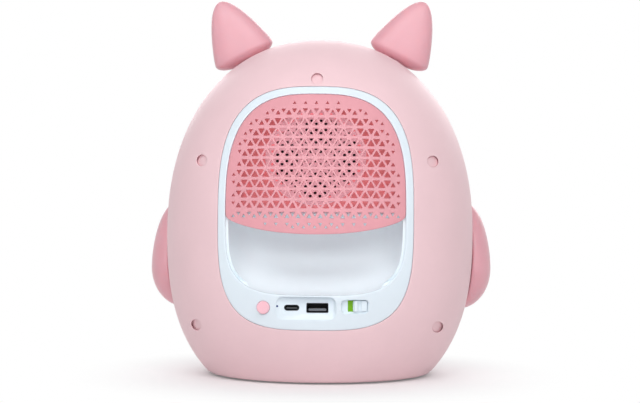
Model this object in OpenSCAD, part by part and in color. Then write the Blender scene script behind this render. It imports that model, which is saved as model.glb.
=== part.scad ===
// Egg-shaped kids speaker with ears and flippers, standing on z = 0, sizes in millimetres
// The back with the ports faces -Y, the front with the control buttons faces +Y

/* [Body] */
// Width of the egg-shaped case
body_w = 202.2; // [198:0.1:210]
// Depth of the case from back to front
body_d = 184; // [182:0.5:186]
// Height at which the case is widest
mid_z = 93; // [92:0.1:95]
// Height of the case above its widest level
rise = 127.7; // [126:0.1:130]
// How far the lower half would reach if it were not cut flat
drop = 117; // [114:0.1:120]
// Fullness of the upper half, 2 is an ellipse
top_power = 2.18; // [2.1:0.01:2.25]
// Fullness of the lower half, 2 is an ellipse
low_power = 2.45; // [2.35:0.01:2.6]
// Wall of both case halves
wall = 2.8; // [2.4:0.1:3]
// Thickness of the case floor
floor_t = 3; // [2.5:0.1:4]
// Softened edge around the base
base_edge = 2; // [1:0.1:3]

/* [Feet] */
// Height of the case above the surface it stands on
foot_out = 1; // [0.8:0.1:2]
// Depth of the sockets that hold the feet
foot_in = 1; // [0.6:0.1:1.6]
// Diameter of a foot
foot_dia = 16; // [12:0.5:18]
// Distance of a foot from the middle, across
foot_x = 42; // [36:0.5:44]
// Distance of a foot from the middle, front to back
foot_y = 33; // [28:0.5:36]

/* [Rear panel] */
// Width of the white rear panel
panel_w = 121; // [117:0.5:124]
// Height of the widest level of the panel
panel_z = 107.6; // [106:0.1:109]
// Reach of the panel above that level
panel_up = 79; // [76:0.5:79.5]
// Reach of the panel below that level
panel_down = 72.2; // [70:0.1:76]
// Width of the white rim around the recess
rim_w = 4.4; // [3.6:0.1:5]
// Thickness of the panel
panel_t = 5.4; // [4.6:0.1:6]
// Width of the flange behind the case wall
lip_w = 6; // [5:0.1:7]

/* [Hand hold] */
// Ceiling of the hand hold behind the grille
hold_top = 106.5; // [105:0.1:107]
// Bottom of the recess
hold_low = 56.9; // [56:0.1:60]
// Depth of the hand hold from the rearmost point of the case
hold_depth = 38; // [34:0.5:40]
// Depth at which the bowl starts to curve in
hold_bend = 16; // [15:0.5:17]
// How far the bowl draws in at its sides
hold_side = 13; // [10:0.5:16]
// How far the bowl climbs at its bottom
hold_climb = 25; // [20:0.5:28]
// Wall of the bowl and of the frame behind the panel
hold_wall = 2.4; // [1.8:0.1:3]

/* [Rear grille] */
// Thickness of both grilles
grille_t = 2.2; // [1.8:0.1:2.6]
// Lowest point of the lip of the rear grille
grille_low = 94.1; // [92:0.1:97]
// How much higher the lip is at its ends
grille_sag = 6.2; // [4:0.1:8]
// Distance between like triangles in a row
hole_pitch = 6.75; // [6.2:0.05:7.5]
// Distance between the rows of triangles
hole_row = 6.36; // [6:0.02:7]
// Side of the largest triangle
hole_big = 3.9; // [3:0.1:4]
// Side of the smallest triangle
hole_small = 1.6; // [1.2:0.1:2]

/* [Rear driver] */
// Height of the middle of the rear driver
rear_drive_z = 140.5; // [140.2:0.1:142]
// Depth of its mounting face from the rearmost point
rear_drive_in = 20.5; // [19.5:0.1:22]
// Backward tilt of the rear driver
rear_tilt = 18; // [15:0.5:20]
// Radius of the flange of the rear driver
rear_drive_r = 29.5; // [28:0.1:29.8]
// Inset of the inner baffle from the outside of the case
baffle_in = 12.5; // [11.5:0.1:13.5]
// Thickness of the inner baffle
baffle_t = 2; // [1.6:0.1:2.4]
// Distance between like holes of the driver guard
dot_pitch = 6; // [5.4:0.1:7]
// Diameter of the holes of the driver guard
dot_dia = 1.7; // [1.2:0.1:2.2]

/* [Ports] */
// Height of the middle of the ports
port_z = 49.2; // [48.6:0.1:50]
// Middle of the port recess, across
pocket_x = -4.4; // [-5.5:0.1:-3.5]
// Width of the port recess
pocket_w = 33.6; // [32:0.1:34.5]
// Height of the port recess
pocket_h = 14; // [12:0.1:14.6]
// Depth of the recess floor from the rearmost point
pocket_in = 7.1; // [6.4:0.1:8]
// Middle of the small charging port, across
usb_c_x = -13.8; // [-14.5:0.1:-13]
// Middle of the large port, across
usb_a_x = 1.9; // [1:0.1:3]
// Depth of the port board from the rearmost point
port_board_in = 23.6; // [23.4:0.1:24.4]
// Middle of the status light, across
led_x = -22.6; // [-23.2:0.1:-22.2]
// Middle of the rear button, across
key_x = -31.2; // [-32:0.1:-30.5]
// Diameter of the rear button
key_dia = 8; // [7:0.1:8.4]

/* [Power switch] */
// Middle of the switch well, across
switch_x = 24.7; // [24:0.1:26]
// Height of the middle of the switch
switch_z = 49.6; // [49:0.1:50]
// Width of the switch well
well_w = 16.8; // [16:0.1:18]
// Height of the switch well
well_h = 9.3; // [8:0.1:10]
// Depth of the switch well
well_in = 2.4; // [2:0.1:2.6]
// Width of the sliding knob
knob_w = 8.6; // [8:0.1:9]
// Travel of the sliding knob
knob_travel = 3.5; // [3:0.1:4]

/* [Front panel] */
// Width of the white front panel
front_w = 116; // [112:0.5:120]
// Height of the widest level of the front panel
front_z = 112; // [110:0.5:114]
// Reach of the front panel above that level
front_up = 62; // [60:0.5:66]
// Reach of the front panel below that level
front_down = 64; // [62:0.5:66]
// Diameter of the front grille
front_grille_dia = 83.2; // [80:0.1:85]
// Height of the middle of the front driver
front_drive_z = 128; // [127:0.1:130]
// Depth of its mounting face from the foremost point
front_drive_in = 24; // [23:0.1:25]
// Radius of the flange of the front driver
front_drive_r = 37.8; // [36:0.1:38.4]

/* [Control buttons] */
// Diameter of a front button
button_dia = 11; // [9:0.1:11.6]
// Height of the row of front buttons
button_z = 66; // [65:0.1:67]
// Distance between two front buttons
button_pitch = 24; // [23:0.1:25]
// Travel of every push button
button_travel = 0.8; // [0.5:0.05:1]
// Depth of the key board from the foremost point
key_board_in = 23.6; // [23.2:0.1:24.4]

/* [Ears] */
// Middle of the underside of an ear, across
ear_x = 50.8; // [48:0.1:52]
// Height of the middle of the underside of an ear
ear_z = 210.2; // [209:0.1:212]
// Distance of the ears towards the front
ear_y = 12; // [11.5:0.1:15]
// Outward lean of the ears
ear_lean = 26; // [20:0.5:30]
// Width of an ear
ear_w = 42.8; // [38:0.1:45]
// Depth of an ear
ear_d = 23; // [20:0.5:26]
// Height of an ear
ear_h = 42; // [38:0.5:46]

/* [Flippers] */
// Height of the thickest point of a flipper
flip_z = 68.5; // [66:0.5:72]
// Distance of the flippers towards the front
flip_y = 22; // [20:0.5:26]
// Reach of a flipper above its thickest point
flip_up = 44.5; // [38:0.5:48]
// Reach of a flipper below its thickest point
flip_down = 26; // [24:0.5:30]
// Width of a flipper from front to back
flip_d = 43; // [38:0.5:46]
// Thickness of a flipper
flip_t = 16.4; // [12:0.1:17]

/* [Battery and boards] */
// Diameter of a battery cell
cell_dia = 18.4; // [18:0.1:18.6]
// Length of a battery cell
cell_len = 65.2; // [64:0.1:66]
// Height of the underside of the main board
main_z = 34; // [32:0.5:38]
// Width of the main board
main_w = 92; // [88:0.5:96]
// Depth of the main board
main_d = 48; // [44:0.5:50]
// Thickness of the circuit boards
board_t = 1.6; // [1.2:0.1:2]

/* [Case screws] */
// Diameter of the towers that take the case screws
tower_dia = 10.4; // [9.6:0.1:11]
// Diameter of the screw recesses at the back
plug_dia = 7.2; // [6.8:0.1:7.4]
// Length of the plugs that close the recesses
plug_len = 5; // [3:0.5:8]
// Length of the case screws
case_screw_len = 22; // [18:1:26]
// Thickness that a case screw clamps
case_seat = 10; // [8:0.5:12]

/* [Fits] */
// Gap around a fixed piece in its opening
gap = 0.3; // [0.2:0.05:0.4]
// Gap between curved shells that lie behind each other
skin_gap = 0.6; // [0.5:0.05:0.8]

/* [Hidden] */

$fn = 48;
eps = 0.01;
far = 20;

// Facets of the case: steps of a half turn, rings of the lower and upper half
turn_steps = 24;
low_rings = 9;
top_rings = 13;
crown_turn = 87;
outline_steps = 96;

rear = -body_d/2;
front = body_d/2;
floor_z = foot_out + floor_t;

// Colours
shell_pink = [0.93, 0.77, 0.77];
deep_pink = [0.93, 0.62, 0.65];
panel_white = [0.91, 0.94, 0.96];
key_pink = [0.96, 0.68, 0.73];
black_part = [0.12, 0.12, 0.13];
steel = [0.72, 0.73, 0.75];
board_green = [0.10, 0.35, 0.22];
mark_green = [0.45, 0.72, 0.12];
copper = [0.80, 0.48, 0.28];

// Driver, all sizes for a flange radius of base_r, z runs from the mounting face to the magnet
base_r = 29.5;
gasket_t = 0.8;
flange_t = 1.6;
mount_t = 2.6;
mount_hole_r = 26.5;
tube_tail = 4;
bolt_r = 27.5;
basket_floor = 15.4;
rear_scale = rear_drive_r/base_r;
front_scale = front_drive_r/base_r;
rear_drive_y = rear + rear_drive_in;
front_drive_y = front - front_drive_in;

// Rear panel
panel_power_up = 3;
panel_power_down = 3.5;
recess_w = panel_w/2 - rim_w;
recess_up = panel_up - rim_w;
recess_down = panel_z - hold_low;
frame_back = rear + hold_depth + hold_wall;
shelf_t = 1.8;
shelf_z = hold_top + shelf_t;
stake_angles = [15, 48, 132, 165, 212, 328];
stake_r = 1.5;
stake_head_r = 2.8;
stake_head_t = 1.2;
stake_out = 3.2;
flange_out = 6;
flange_plate_t = 2.2;
flange_angles = [22, 68, 112, 158];
flange_boss_out = 4.2;
flange_boss_r = 3;
flange_boss_len = 5;
skirt_t = 1.4;
skirt_z = shelf_z + gap;

// Small screws
pin_r = 0.9;
pin_hole_r = 1.25;
pin_pilot_r = pin_r + 0.05;
pin_head_r = 1.9;
pin_head_t = 1.4;
pin_len = 6;

// Case screws
case_r = 1.45;
case_pilot_r = case_r + 0.05;
case_hole_r = 1.8;
case_head_r = 3;
case_head_t = 2.4;
tower_side = panel_w/2 + 13.5;
tower_low_side = panel_w/2 + 15.5;
tower_top_z = panel_z + panel_up + 4.8;
tower_z = 140.5;
tower_low_z = 36.6;
tower_spots = [[0, tower_top_z], [-tower_side, tower_z], [tower_side, tower_z],
    [-tower_low_side, tower_low_z], [tower_low_side, tower_low_z]];

// Seam tongue of the front half
tongue_in = 4;
tongue_root = 3;
tongue_t = 1.6;
tongue_gap = 0.5;

// Grille posts
post_spots = [[-45, 122], [45, 122], [-39, 162], [39, 162]];
post_r = 2.3;
post_boss_r = 3.4;
post_join = 10;

// Ports
usb_c_w = 9;
usb_c_h = 3.3;
usb_a_w = 13.1;
usb_a_h = 5.7;
usb_wall = 0.35;
usb_depth = 9;
port_sink = 0.3;
port_block_in = 11.5;
port_board_w = 50;
port_board_x = -13;
port_board_z0 = 31;
port_board_z1 = 53.5;
port_board_y = rear + port_board_in;
port_post_spots = [[-30, 40.6], [9.5, 40.6]];
post_small_r = 2.75;
pipe_r = 0.5;
pipe_bore_r = 0.65;
led_h = 2.2;

// Push buttons and their switches
tact_w = 6;
tact_h = 3.5;
tact_pin_r = 1.7;
tact_pin_h = 1;
key_rest_gap = button_travel + 0.1;
key_proud = 1;
key_flange_w = 1.2;
key_flange_t = 1.2;
key_gap = 0.25;
key_core_r = 2.2;
key_board_y = front - key_board_in;
key_board_w = 92;
key_board_h = 18;
key_post_spots = [-button_pitch, 0, button_pitch];

// Power switch, in a frame turned to the surface of the case
switch_y = -face_y(switch_x, switch_z, 0);
switch_yaw = atan(pow(half_d(switch_z, 0)/half_w(switch_z, 0), 2)*switch_x/-switch_y);
knob_plate_t = 1.2;
knob_rest = (well_w - knob_w)/2 - 0.5;
ridge_w = 2.4;
ridge_in = 0.4;
ridge_h = 1.6;
ridge_len = 6.6;
knob_gap = 0.2;
stem_w = 3;
stem_h = 2.4;
stem_x = knob_rest + 1.05;
slide_in = 9.4;
slide_w = 12;
slide_h = 5;
slide_t = 3.6;
slot_in = 1.6;
switch_board_in = slide_in + slide_t;
switch_board_w = 20;
switch_board_h = 11.6;
switch_board_drop = 1.8;
switch_post_x = 7.6;
switch_post_z = -5.4;
switch_post_r = 2.1;
mark_w = 3;
mark_h = 6.2;
mark_t = 0.15;

// Front panel
front_power = 2.6;
front_ring_w = 41;
front_seat_t = grille_t + 0.6;

// Ears and flippers
ear_neck_r = 8;
ear_neck_in = 13;
ear_collar_r = 11;
ear_round = 4;
ear_crown = 2.2;
ear_side_power = 0.53;
ear_face_power = 0.42;
flip_gap = 0.6;
flip_neck_r = 6;
flip_neck_z = flip_z + 19;
flip_collar_r = 9;
flip_neck_in = 14;
neck_gap = 0.3;
washer_t = 1.6;

// Battery and boards
cell_r = cell_dia/2;
cell_bed = 2.4;
cell_z = floor_z + cell_bed + cell_r + 0.3;
cell_ys = [18, 38];
tray_w = 72;
tray_top = floor_z + 8.6;
tray_end = 24;
tray_d = 44;
tray_y = 28;
tray_tab_x = 41;
tray_post_h = 6;
tray_tab_t = 2.6;
floor_post_r = 3.5;
main_y = 28;
main_post_x = 40;
main_post_dy = 17;
strap_t = 0.5;
strap_w = 12;

// Parts on the main board
radio_x = -20;
radio_in = 2;
radio_w = 14;
radio_d = 19;
radio_t = 0.8;
radio_edge = 1;
radio_shield_h = 2.4;
chip_x = 8;
chip_w = 9;
chip_t = 1.4;
chip_legs = 1.6;
chip_edge = 1;
chip_leg_t = 0.5;
can_spots = [-34, 28];
can_in = 2;
can_r = 4;
can_h = 11;
coil_x = -1;
coil_in = 14;
coil_w = 6;
coil_h = 3;

// Leads: the middle points of each route are chosen by hand
lead_r = 1.1;
lead_sides = 8;
lead_rings = 13;
socket_h = 4;
socket_w = 7;
socket_d = 6;
battery_socket = [38, 28];
rear_socket = [-24, 12];
front_socket = [22, 42];
port_socket = [-8, 12];
keys_socket = [4, 44];

// Superellipse factor, 1 in the middle and 0 at the rim
function arch(u, n) = pow(max(0, 1 - pow(abs(u), n)), 1/n);

// The case: t is how far a surface lies inside the outer one
function egg(z, t) = z >= mid_z ? arch((z - mid_z)/(rise - t), top_power)
    : arch((mid_z - z)/(drop - t), low_power);
function half_w(z, t) = (body_w/2 - t)*egg(z, t);
function half_d(z, t) = (body_d/2 - t)*egg(z, t);
function face_y(x, z, t) = half_d(z, t)*arch(x/half_w(z, t), 2);

// The same surface at a point that lies r further out from the middle of the case
function out_point(x, z, r) = let (d = sqrt(x*x + pow(z - mid_z, 2))) [x + x*r/d, z + (z - mid_z)*r/d];
function low_face_y(x, z, r, t) = let (p = out_point(x, z, r)) face_y(p[0], p[1], t);

// Levels of the rings of the case, from z0 to the crown
function base_turn(t, z0) = asin(pow((mid_z - z0)/(drop - t), low_power/2));
function levels(t, z0) = concat(
    [for (k = [low_rings:-1:1]) mid_z - (drop - t)*pow(sin(base_turn(t, z0)*k/low_rings), 2/low_power)],
    [for (k = [0:top_rings - 1]) mid_z + (rise - t)*pow(sin(90*k/top_rings), 2/top_power)],
    [mid_z + (rise - t)*pow(sin(crown_turn), 2/top_power)]);

function reversed(list) = [for (j = [len(list) - 1:-1:0]) list[j]];

// Half a ring of the case on one side of the seam, drawn out past the seam by over
function egg_ring(z, t, side, over) = let (
    arc = [for (j = [0:turn_steps]) let (a = 180*j/turn_steps)
        [half_w(z, t)*cos(a), side*half_d(z, t)*sin(a), z]],
    back = over > 0 ? [[-half_w(z, t), -side*over, z], [half_w(z, t), -side*over, z]] : [],
    ring = concat(arc, back)
) side > 0 ? ring : reversed(ring);

function quad(a, b, c, d) = [[a, b, c], [a, c, d]];

// Skin over a stack of closed rings with equal counts, counterclockwise seen from the last ring
module loft(rings) {
    n = len(rings[0]);
    last = len(rings) - 1;
    faces = concat(
        [[for (j = [0:n - 1]) j]],
        [for (k = [0:last - 1], j = [0:n - 1])
            each quad(k*n + j, (k + 1)*n + j, (k + 1)*n + (j + 1) % n, k*n + (j + 1) % n)],
        [[for (j = [n - 1:-1:0]) last*n + j]]);
    polyhedron([for (r = rings) each r], faces, convexity = 8);
}

// Curved slab between two grids of points, both seen from -Y with rows going up
module slab(face, back) {
    rows = len(face);
    m = len(face[0]);
    all = rows*m;
    polyhedron(concat([for (r = face) each r], [for (r = back) each r]), concat(
        [for (k = [0:rows - 2], i = [0:m - 2]) let (a = k*m + i) each quad(a, a + m, a + m + 1, a + 1)],
        [for (k = [0:rows - 2], i = [0:m - 2]) let (a = all + k*m + i)
            each quad(a, a + 1, a + m + 1, a + m)],
        [for (k = [0:rows - 2]) let (a = k*m) each quad(all + a, all + a + m, a + m, a)],
        [for (k = [0:rows - 2]) let (a = k*m + m - 1) each quad(a, a + m, all + a + m, all + a)],
        [for (i = [0:m - 2]) each quad(i + 1, all + i + 1, all + i, i)],
        [for (i = [0:m - 2]) let (a = (rows - 1)*m + i) each quad(a, all + a, all + a + 1, a + 1)]),
        convexity = 8);
}

function grid(x0, x1, z0, z1, nx, nz, t) = [for (k = [0:nz]) let (z = z0 + (z1 - z0)*k/nz)
    [for (i = [0:nx]) let (x = x0 + (x1 - x0)*i/nx) [x, -face_y(x, z, t), z]]];
function flat_grid(face, y) = [for (r = face) [for (p = r) [p[0], y, p[2]]]];

// Part of the case surface at the back, between the insets t0 and t1
module skin(x0, x1, z0, z1, nx, nz, t0, t1) {
    slab(grid(x0, x1, z0, z1, nx, nz, t0), grid(x0, x1, z0, z1, nx, nz, t1));
}

// The same with a flat back at y, at least 1 thick
module plug(x0, x1, z0, z1, nx, nz, t0, y) {
    face = [for (row = grid(x0, x1, z0, z1, nx, nz, t0)) [for (p = row) [p[0], min(p[1], y - 1), p[2]]]];
    slab(face, flat_grid(face, y));
}

// Half of the case as a solid, with its base cut at z0 and its lower edge drawn in
module half_egg(t, z0, side, over, edge = 0) {
    zs = levels(t, z0 + edge);
    foot = edge > 0 ? [egg_ring(z0, t + edge, side, over)] : [];
    loft(concat(foot, [for (z = zs) egg_ring(z, t, side, over)]));
}

// Outline of a panel, seen from the back
function outline(w, zc, up, down, n_up, n_down) = [for (i = [0:outline_steps - 1]) let (
    a = 360*i/outline_steps,
    n = a <= 180 ? n_up : n_down,
    b = a <= 180 ? up : down
) [w*sign(cos(a))*pow(abs(cos(a)), 2/n), zc + b*sign(sin(a))*pow(abs(sin(a)), 2/n)]];

function rear_outline(grow) = outline(panel_w/2 + grow, panel_z, panel_up + grow, panel_down + grow,
    panel_power_up, panel_power_down);
function recess_outline(grow) = outline(recess_w + grow, panel_z, recess_up + grow, recess_down + grow,
    panel_power_up, panel_power_down);
function upper_recess(grow, low) = concat(
    [for (i = [0:outline_steps/2]) let (p = recess_outline(grow)[i]) [p[0], max(p[1], low)]],
    low < panel_z ? [[-recess_w - grow, low], [recess_w + grow, low]] : []);
function front_outline(grow) = outline(front_w/2 + grow, front_z, front_up + grow, front_down + grow,
    front_power, front_power);

// A point of the rear outline or of the recess outline at an angle
function rear_spot(a, grow) = let (n = a <= 180 ? panel_power_up : panel_power_down,
    b = a <= 180 ? panel_up : panel_down)
    [(panel_w/2 + grow)*sign(cos(a))*pow(abs(cos(a)), 2/n),
     panel_z + (b + grow)*sign(sin(a))*pow(abs(sin(a)), 2/n)];
function recess_spot(a, grow) = [(recess_w + grow)*sign(cos(a))*pow(abs(cos(a)), 2/panel_power_up),
    panel_z + (recess_up + grow)*pow(abs(sin(a)), 2/panel_power_up)];

module prism(points, y0, y1) {
    translate([0, y1, 0]) rotate([90, 0, 0]) linear_extrude(height = y1 - y0) polygon(points);
}

// Sheet with an outer outline and holes that all have the same number of corners
module sheet(outer, holes, y0, y1) {
    n = len(outer);
    m = len(holes[0]);
    paths = concat([[for (i = [0:n - 1]) i]],
        [for (h = [0:len(holes) - 1]) [for (i = [0:m - 1]) n + h*m + i]]);
    translate([0, y1, 0]) rotate([90, 0, 0]) linear_extrude(height = y1 - y0)
        polygon(concat(outer, [for (h = holes) each h]), paths);
}

// Round bar along Y
module rod(x, z, r, y0, y1) {
    translate([x, y1, z]) rotate([90, 0, 0]) cylinder(r = r, h = y1 - y0);
}

module round_box(x, z, w, h, r, y0, y1) {
    corners = [for (q = [0:3], i = [0:4]) let (
        a = 90*q + 22.5*i,
        sx = q == 0 || q == 3 ? 1 : -1,
        sz = q < 2 ? 1 : -1
    ) [x + sx*(w/2 - r) + r*cos(a), z + sz*(h/2 - r) + r*sin(a)]];
    prism(corners, y0, y1);
}

// Screw along +Z with its seat at z = 0, its head below and its shank above
module screw(r, len, head_r, head_t) {
    difference() {
        union() {
            translate([0, 0, -head_t]) cylinder(r = head_r, h = head_t);
            cylinder(r = r, h = len);
        }
        translate([-head_r*0.6, -head_r*0.12, -head_t - eps]) cube([head_r*1.2, head_r*0.24, head_t*0.5]);
        translate([-head_r*0.12, -head_r*0.6, -head_t - eps]) cube([head_r*0.24, head_r*1.2, head_t*0.5]);
    }
}
module screw_in(x, y, z) {
    translate([x, y, z]) rotate([-90, 0, 0]) screw(pin_r, pin_len, pin_head_r, pin_head_t);
}
module screw_back(x, y, z) {
    translate([x, y, z]) rotate([90, 0, 0]) screw(pin_r, pin_len, pin_head_r, pin_head_t);
}

// Tube along a route, its ends square to the first and last stretch
function spline(p, u) = let (
    last = len(p) - 1,
    s = min(floor(u*last), last - 1),
    f = u*last - s,
    a = p[max(s - 1, 0)], b = p[s], c = p[s + 1], d = p[min(s + 2, last)]
) 0.5*((2*b) + (c - a)*f + (2*a - 5*b + 4*c - d)*f*f + (3*b - a - 3*c + d)*f*f*f);
function unit(v) = v/norm(v);
module lead(route) {
    path = [for (k = [0:lead_rings - 1]) spline(route, k/(lead_rings - 1))];
    loft([for (k = [0:lead_rings - 1]) let (
        along = unit(path[min(k + 1, lead_rings - 1)] - path[max(k - 1, 0)]),
        side = unit(cross(along, [0.31, 0.12, 0.07] + [0, 0, abs(along[2]) < 0.8 ? 1 : 0])),
        up = cross(along, side)
    ) [for (i = [0:lead_sides - 1]) let (a = 360*i/lead_sides)
        path[k] + lead_r*(cos(a)*side + sin(a)*up)]]);
}

// Frames of the two drivers
module at_rear_driver() {
    translate([0, rear_drive_y, rear_drive_z]) rotate([-90 - rear_tilt, 0, 0]) children();
}
module at_front_driver() { translate([0, front_drive_y, front_drive_z]) rotate([90, 0, 0]) children(); }
function rear_driver_point(v) = [v[0], rear_drive_y + v[2]*cos(rear_tilt) - v[1]*sin(rear_tilt),
    rear_drive_z - v[2]*sin(rear_tilt) - v[1]*cos(rear_tilt)];
function front_driver_point(v) = [v[0], front_drive_y - v[2], front_drive_z + v[1]];
module at_switch() { translate([switch_x, switch_y, switch_z]) rotate([0, 0, switch_yaw]) children(); }
module at_ear(side) {
    mirror([side > 0 ? 0 : 1, 0, 0]) translate([ear_x, ear_y, ear_z]) rotate([0, ear_lean, 0]) children();
}

// Case halves

function section(t, z0) = let (zs = levels(t, z0)) concat(
    [for (z = zs) [half_w(z, t), z]],
    reversed([for (z = zs) [-half_w(z, t), z]]));

module tongue_ring(t, y0, y1) {
    difference() {
        prism(section(t, floor_z + t - wall), y0, y1);
        prism(section(wall + tongue_gap + tongue_t, floor_z + tongue_gap + tongue_t), y0 - 1, y1 + 1);
    }
}

module foot_sockets() {
    for (sx = [-1, 1], sy = [-1, 1])
        translate([sx*foot_x, sy*foot_y, foot_out - 1]) cylinder(r = foot_dia/2 + gap/2, h = foot_in + 1);
}

// Pins of the case wall that hold a panel by its lip, built at the back
module stake(p) {
    seat = -low_face_y(p[0], p[1], stake_head_r, panel_t) + gap;
    rod(p[0], p[1], stake_r, rear - 1, seat + eps);
    rod(p[0], p[1], stake_head_r, seat, seat + stake_head_t);
}

module rear_shell() {
    color(shell_pink) difference() {
        half_egg(0, foot_out, -1, 0, base_edge);
        difference() {
            half_egg(wall, floor_z, -1, 2);
            for (s = tower_spots) rod(s[0], s[1], tower_dia/2, rear - 1, 0);
            for (a = stake_angles) stake(rear_spot(a, stake_out));
        }
        prism(rear_outline(gap), rear - far, rear/4);
        for (s = tower_spots) {
            rod(s[0], s[1], plug_dia/2, rear - far, -case_seat);
            rod(s[0], s[1], case_hole_r, -case_seat - 1, 1);
        }
        foot_sockets();
    }
}

module front_shell() {
    color(shell_pink) difference() {
        union() {
            difference() {
                half_egg(0, foot_out, 1, 0, base_edge);
                difference() {
                    half_egg(wall, floor_z, 1, 2);
                    for (s = tower_spots) rod(s[0], s[1], tower_dia/2 - 0.7, 0, front + 1);
                    mirror([0, 1, 0]) for (a = stake_angles) stake(front_stake(a));
                    for (sx = [-1, 1]) {
                        at_ear(sx)
                            translate([0, 0, -ear_neck_in]) cylinder(r = ear_collar_r, h = ear_neck_in);
                        translate([sx*(flip_root_x + 20), flip_y, flip_neck_z]) rotate([0, -sx*90, 0])
                            cylinder(r = flip_collar_r, h = 20 + flip_neck_in);
                        for (sy = [-1, 1])
                            translate([sx*main_post_x, main_y + sy*main_post_dy, 0])
                                cylinder(r = floor_post_r, h = main_z);
                        translate([sx*tray_tab_x, tray_y, 0])
                            cylinder(r = floor_post_r, h = floor_z + tray_post_h);
                    }
                }
            }
            tongue_ring(wall - 0.2, 0, tongue_root);
            tongue_ring(wall + tongue_gap, -tongue_in, eps);
        }
        prism(front_outline(gap), front/4, front + far);
        for (s = tower_spots) rod(s[0], s[1], case_pilot_r, -1, case_screw_len - case_seat + 2);
        for (sx = [-1, 1]) {
            at_ear(sx)
                translate([0, 0, -ear_neck_in - 1])
                    cylinder(r = ear_neck_r + neck_gap, h = ear_neck_in + far);
            translate([sx*(flip_root_x + far), flip_y, flip_neck_z]) rotate([0, -sx*90, 0])
                cylinder(r = flip_neck_r + neck_gap, h = far + flip_neck_in + 1);
            for (sy = [-1, 1])
                translate([sx*main_post_x, main_y + sy*main_post_dy, floor_z])
                    cylinder(r = pin_pilot_r, h = main_z);
            translate([sx*tray_tab_x, tray_y, floor_z]) cylinder(r = pin_pilot_r, h = main_z);
        }
        foot_sockets();
    }
}

module rubber_feet() {
    color(black_part) for (sx = [-1, 1], sy = [-1, 1])
        translate([sx*foot_x, sy*foot_y, 0]) cylinder(r = foot_dia/2, h = foot_out + foot_in);
}

module case_screws() {
    color(steel) for (s = tower_spots)
        translate([s[0], -case_seat, s[1]]) rotate([-90, 0, 0])
            screw(case_r, case_screw_len, case_head_r, case_head_t);
}

module screw_plugs() {
    color(shell_pink) for (s = tower_spots) {
        y = -low_face_y(s[0], s[1], plug_dia/2, 0) + gap;
        rod(s[0], s[1], plug_dia/2 - 0.1, y, y + plug_len);
    }
}

// Rear panel with the bowl of the hand hold, the frame for the baffle and the port zone

function bowl_ring(turn, grow, top, y) = let (
    w = recess_w + grow - hold_side*(1 - cos(turn)),
    down = hold_top - hold_low + grow - hold_climb*(1 - cos(turn))
) [for (i = [24:-1:0]) let (a = 180 + 7.5*i)
    [w*sign(cos(a))*pow(abs(cos(a)), 2/panel_power_down), y,
     i == 0 || i == 24 ? top : hold_top - down*pow(abs(sin(a)), 2/panel_power_down)]];
bowl_turns = [0, 15, 30, 45, 60, 75, 90];
function bowl_y(turn, grow) = rear + hold_bend + (hold_depth - hold_bend + grow)*sin(turn);

module bowl_hollow() {
    loft(concat([bowl_ring(0, 0, hold_top, rear - far)],
        [for (a = bowl_turns) bowl_ring(a, 0, hold_top, bowl_y(a, 0))]));
}
module bowl_body() {
    loft([for (a = bowl_turns) bowl_ring(max(a, 10), hold_wall, shelf_z, bowl_y(max(a, 10), hold_wall))]);
}

module rear_lip() {
    difference() {
        intersection() {
            skin(-panel_w/2 - lip_w - 1, panel_w/2 + lip_w + 1, panel_z - panel_down - lip_w - 1,
                panel_z + panel_up + lip_w + 1, 16, 16, wall + skin_gap, panel_t);
            prism(rear_outline(lip_w), rear, 0);
        }
        rod(tower_spots[0][0], tower_spots[0][1], tower_dia/2 + 2*gap, rear, 0);
        for (a = stake_angles) {
            p = rear_spot(a, stake_out);
            rod(p[0], p[1], stake_r + gap, rear, 0);
        }
    }
}

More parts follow.
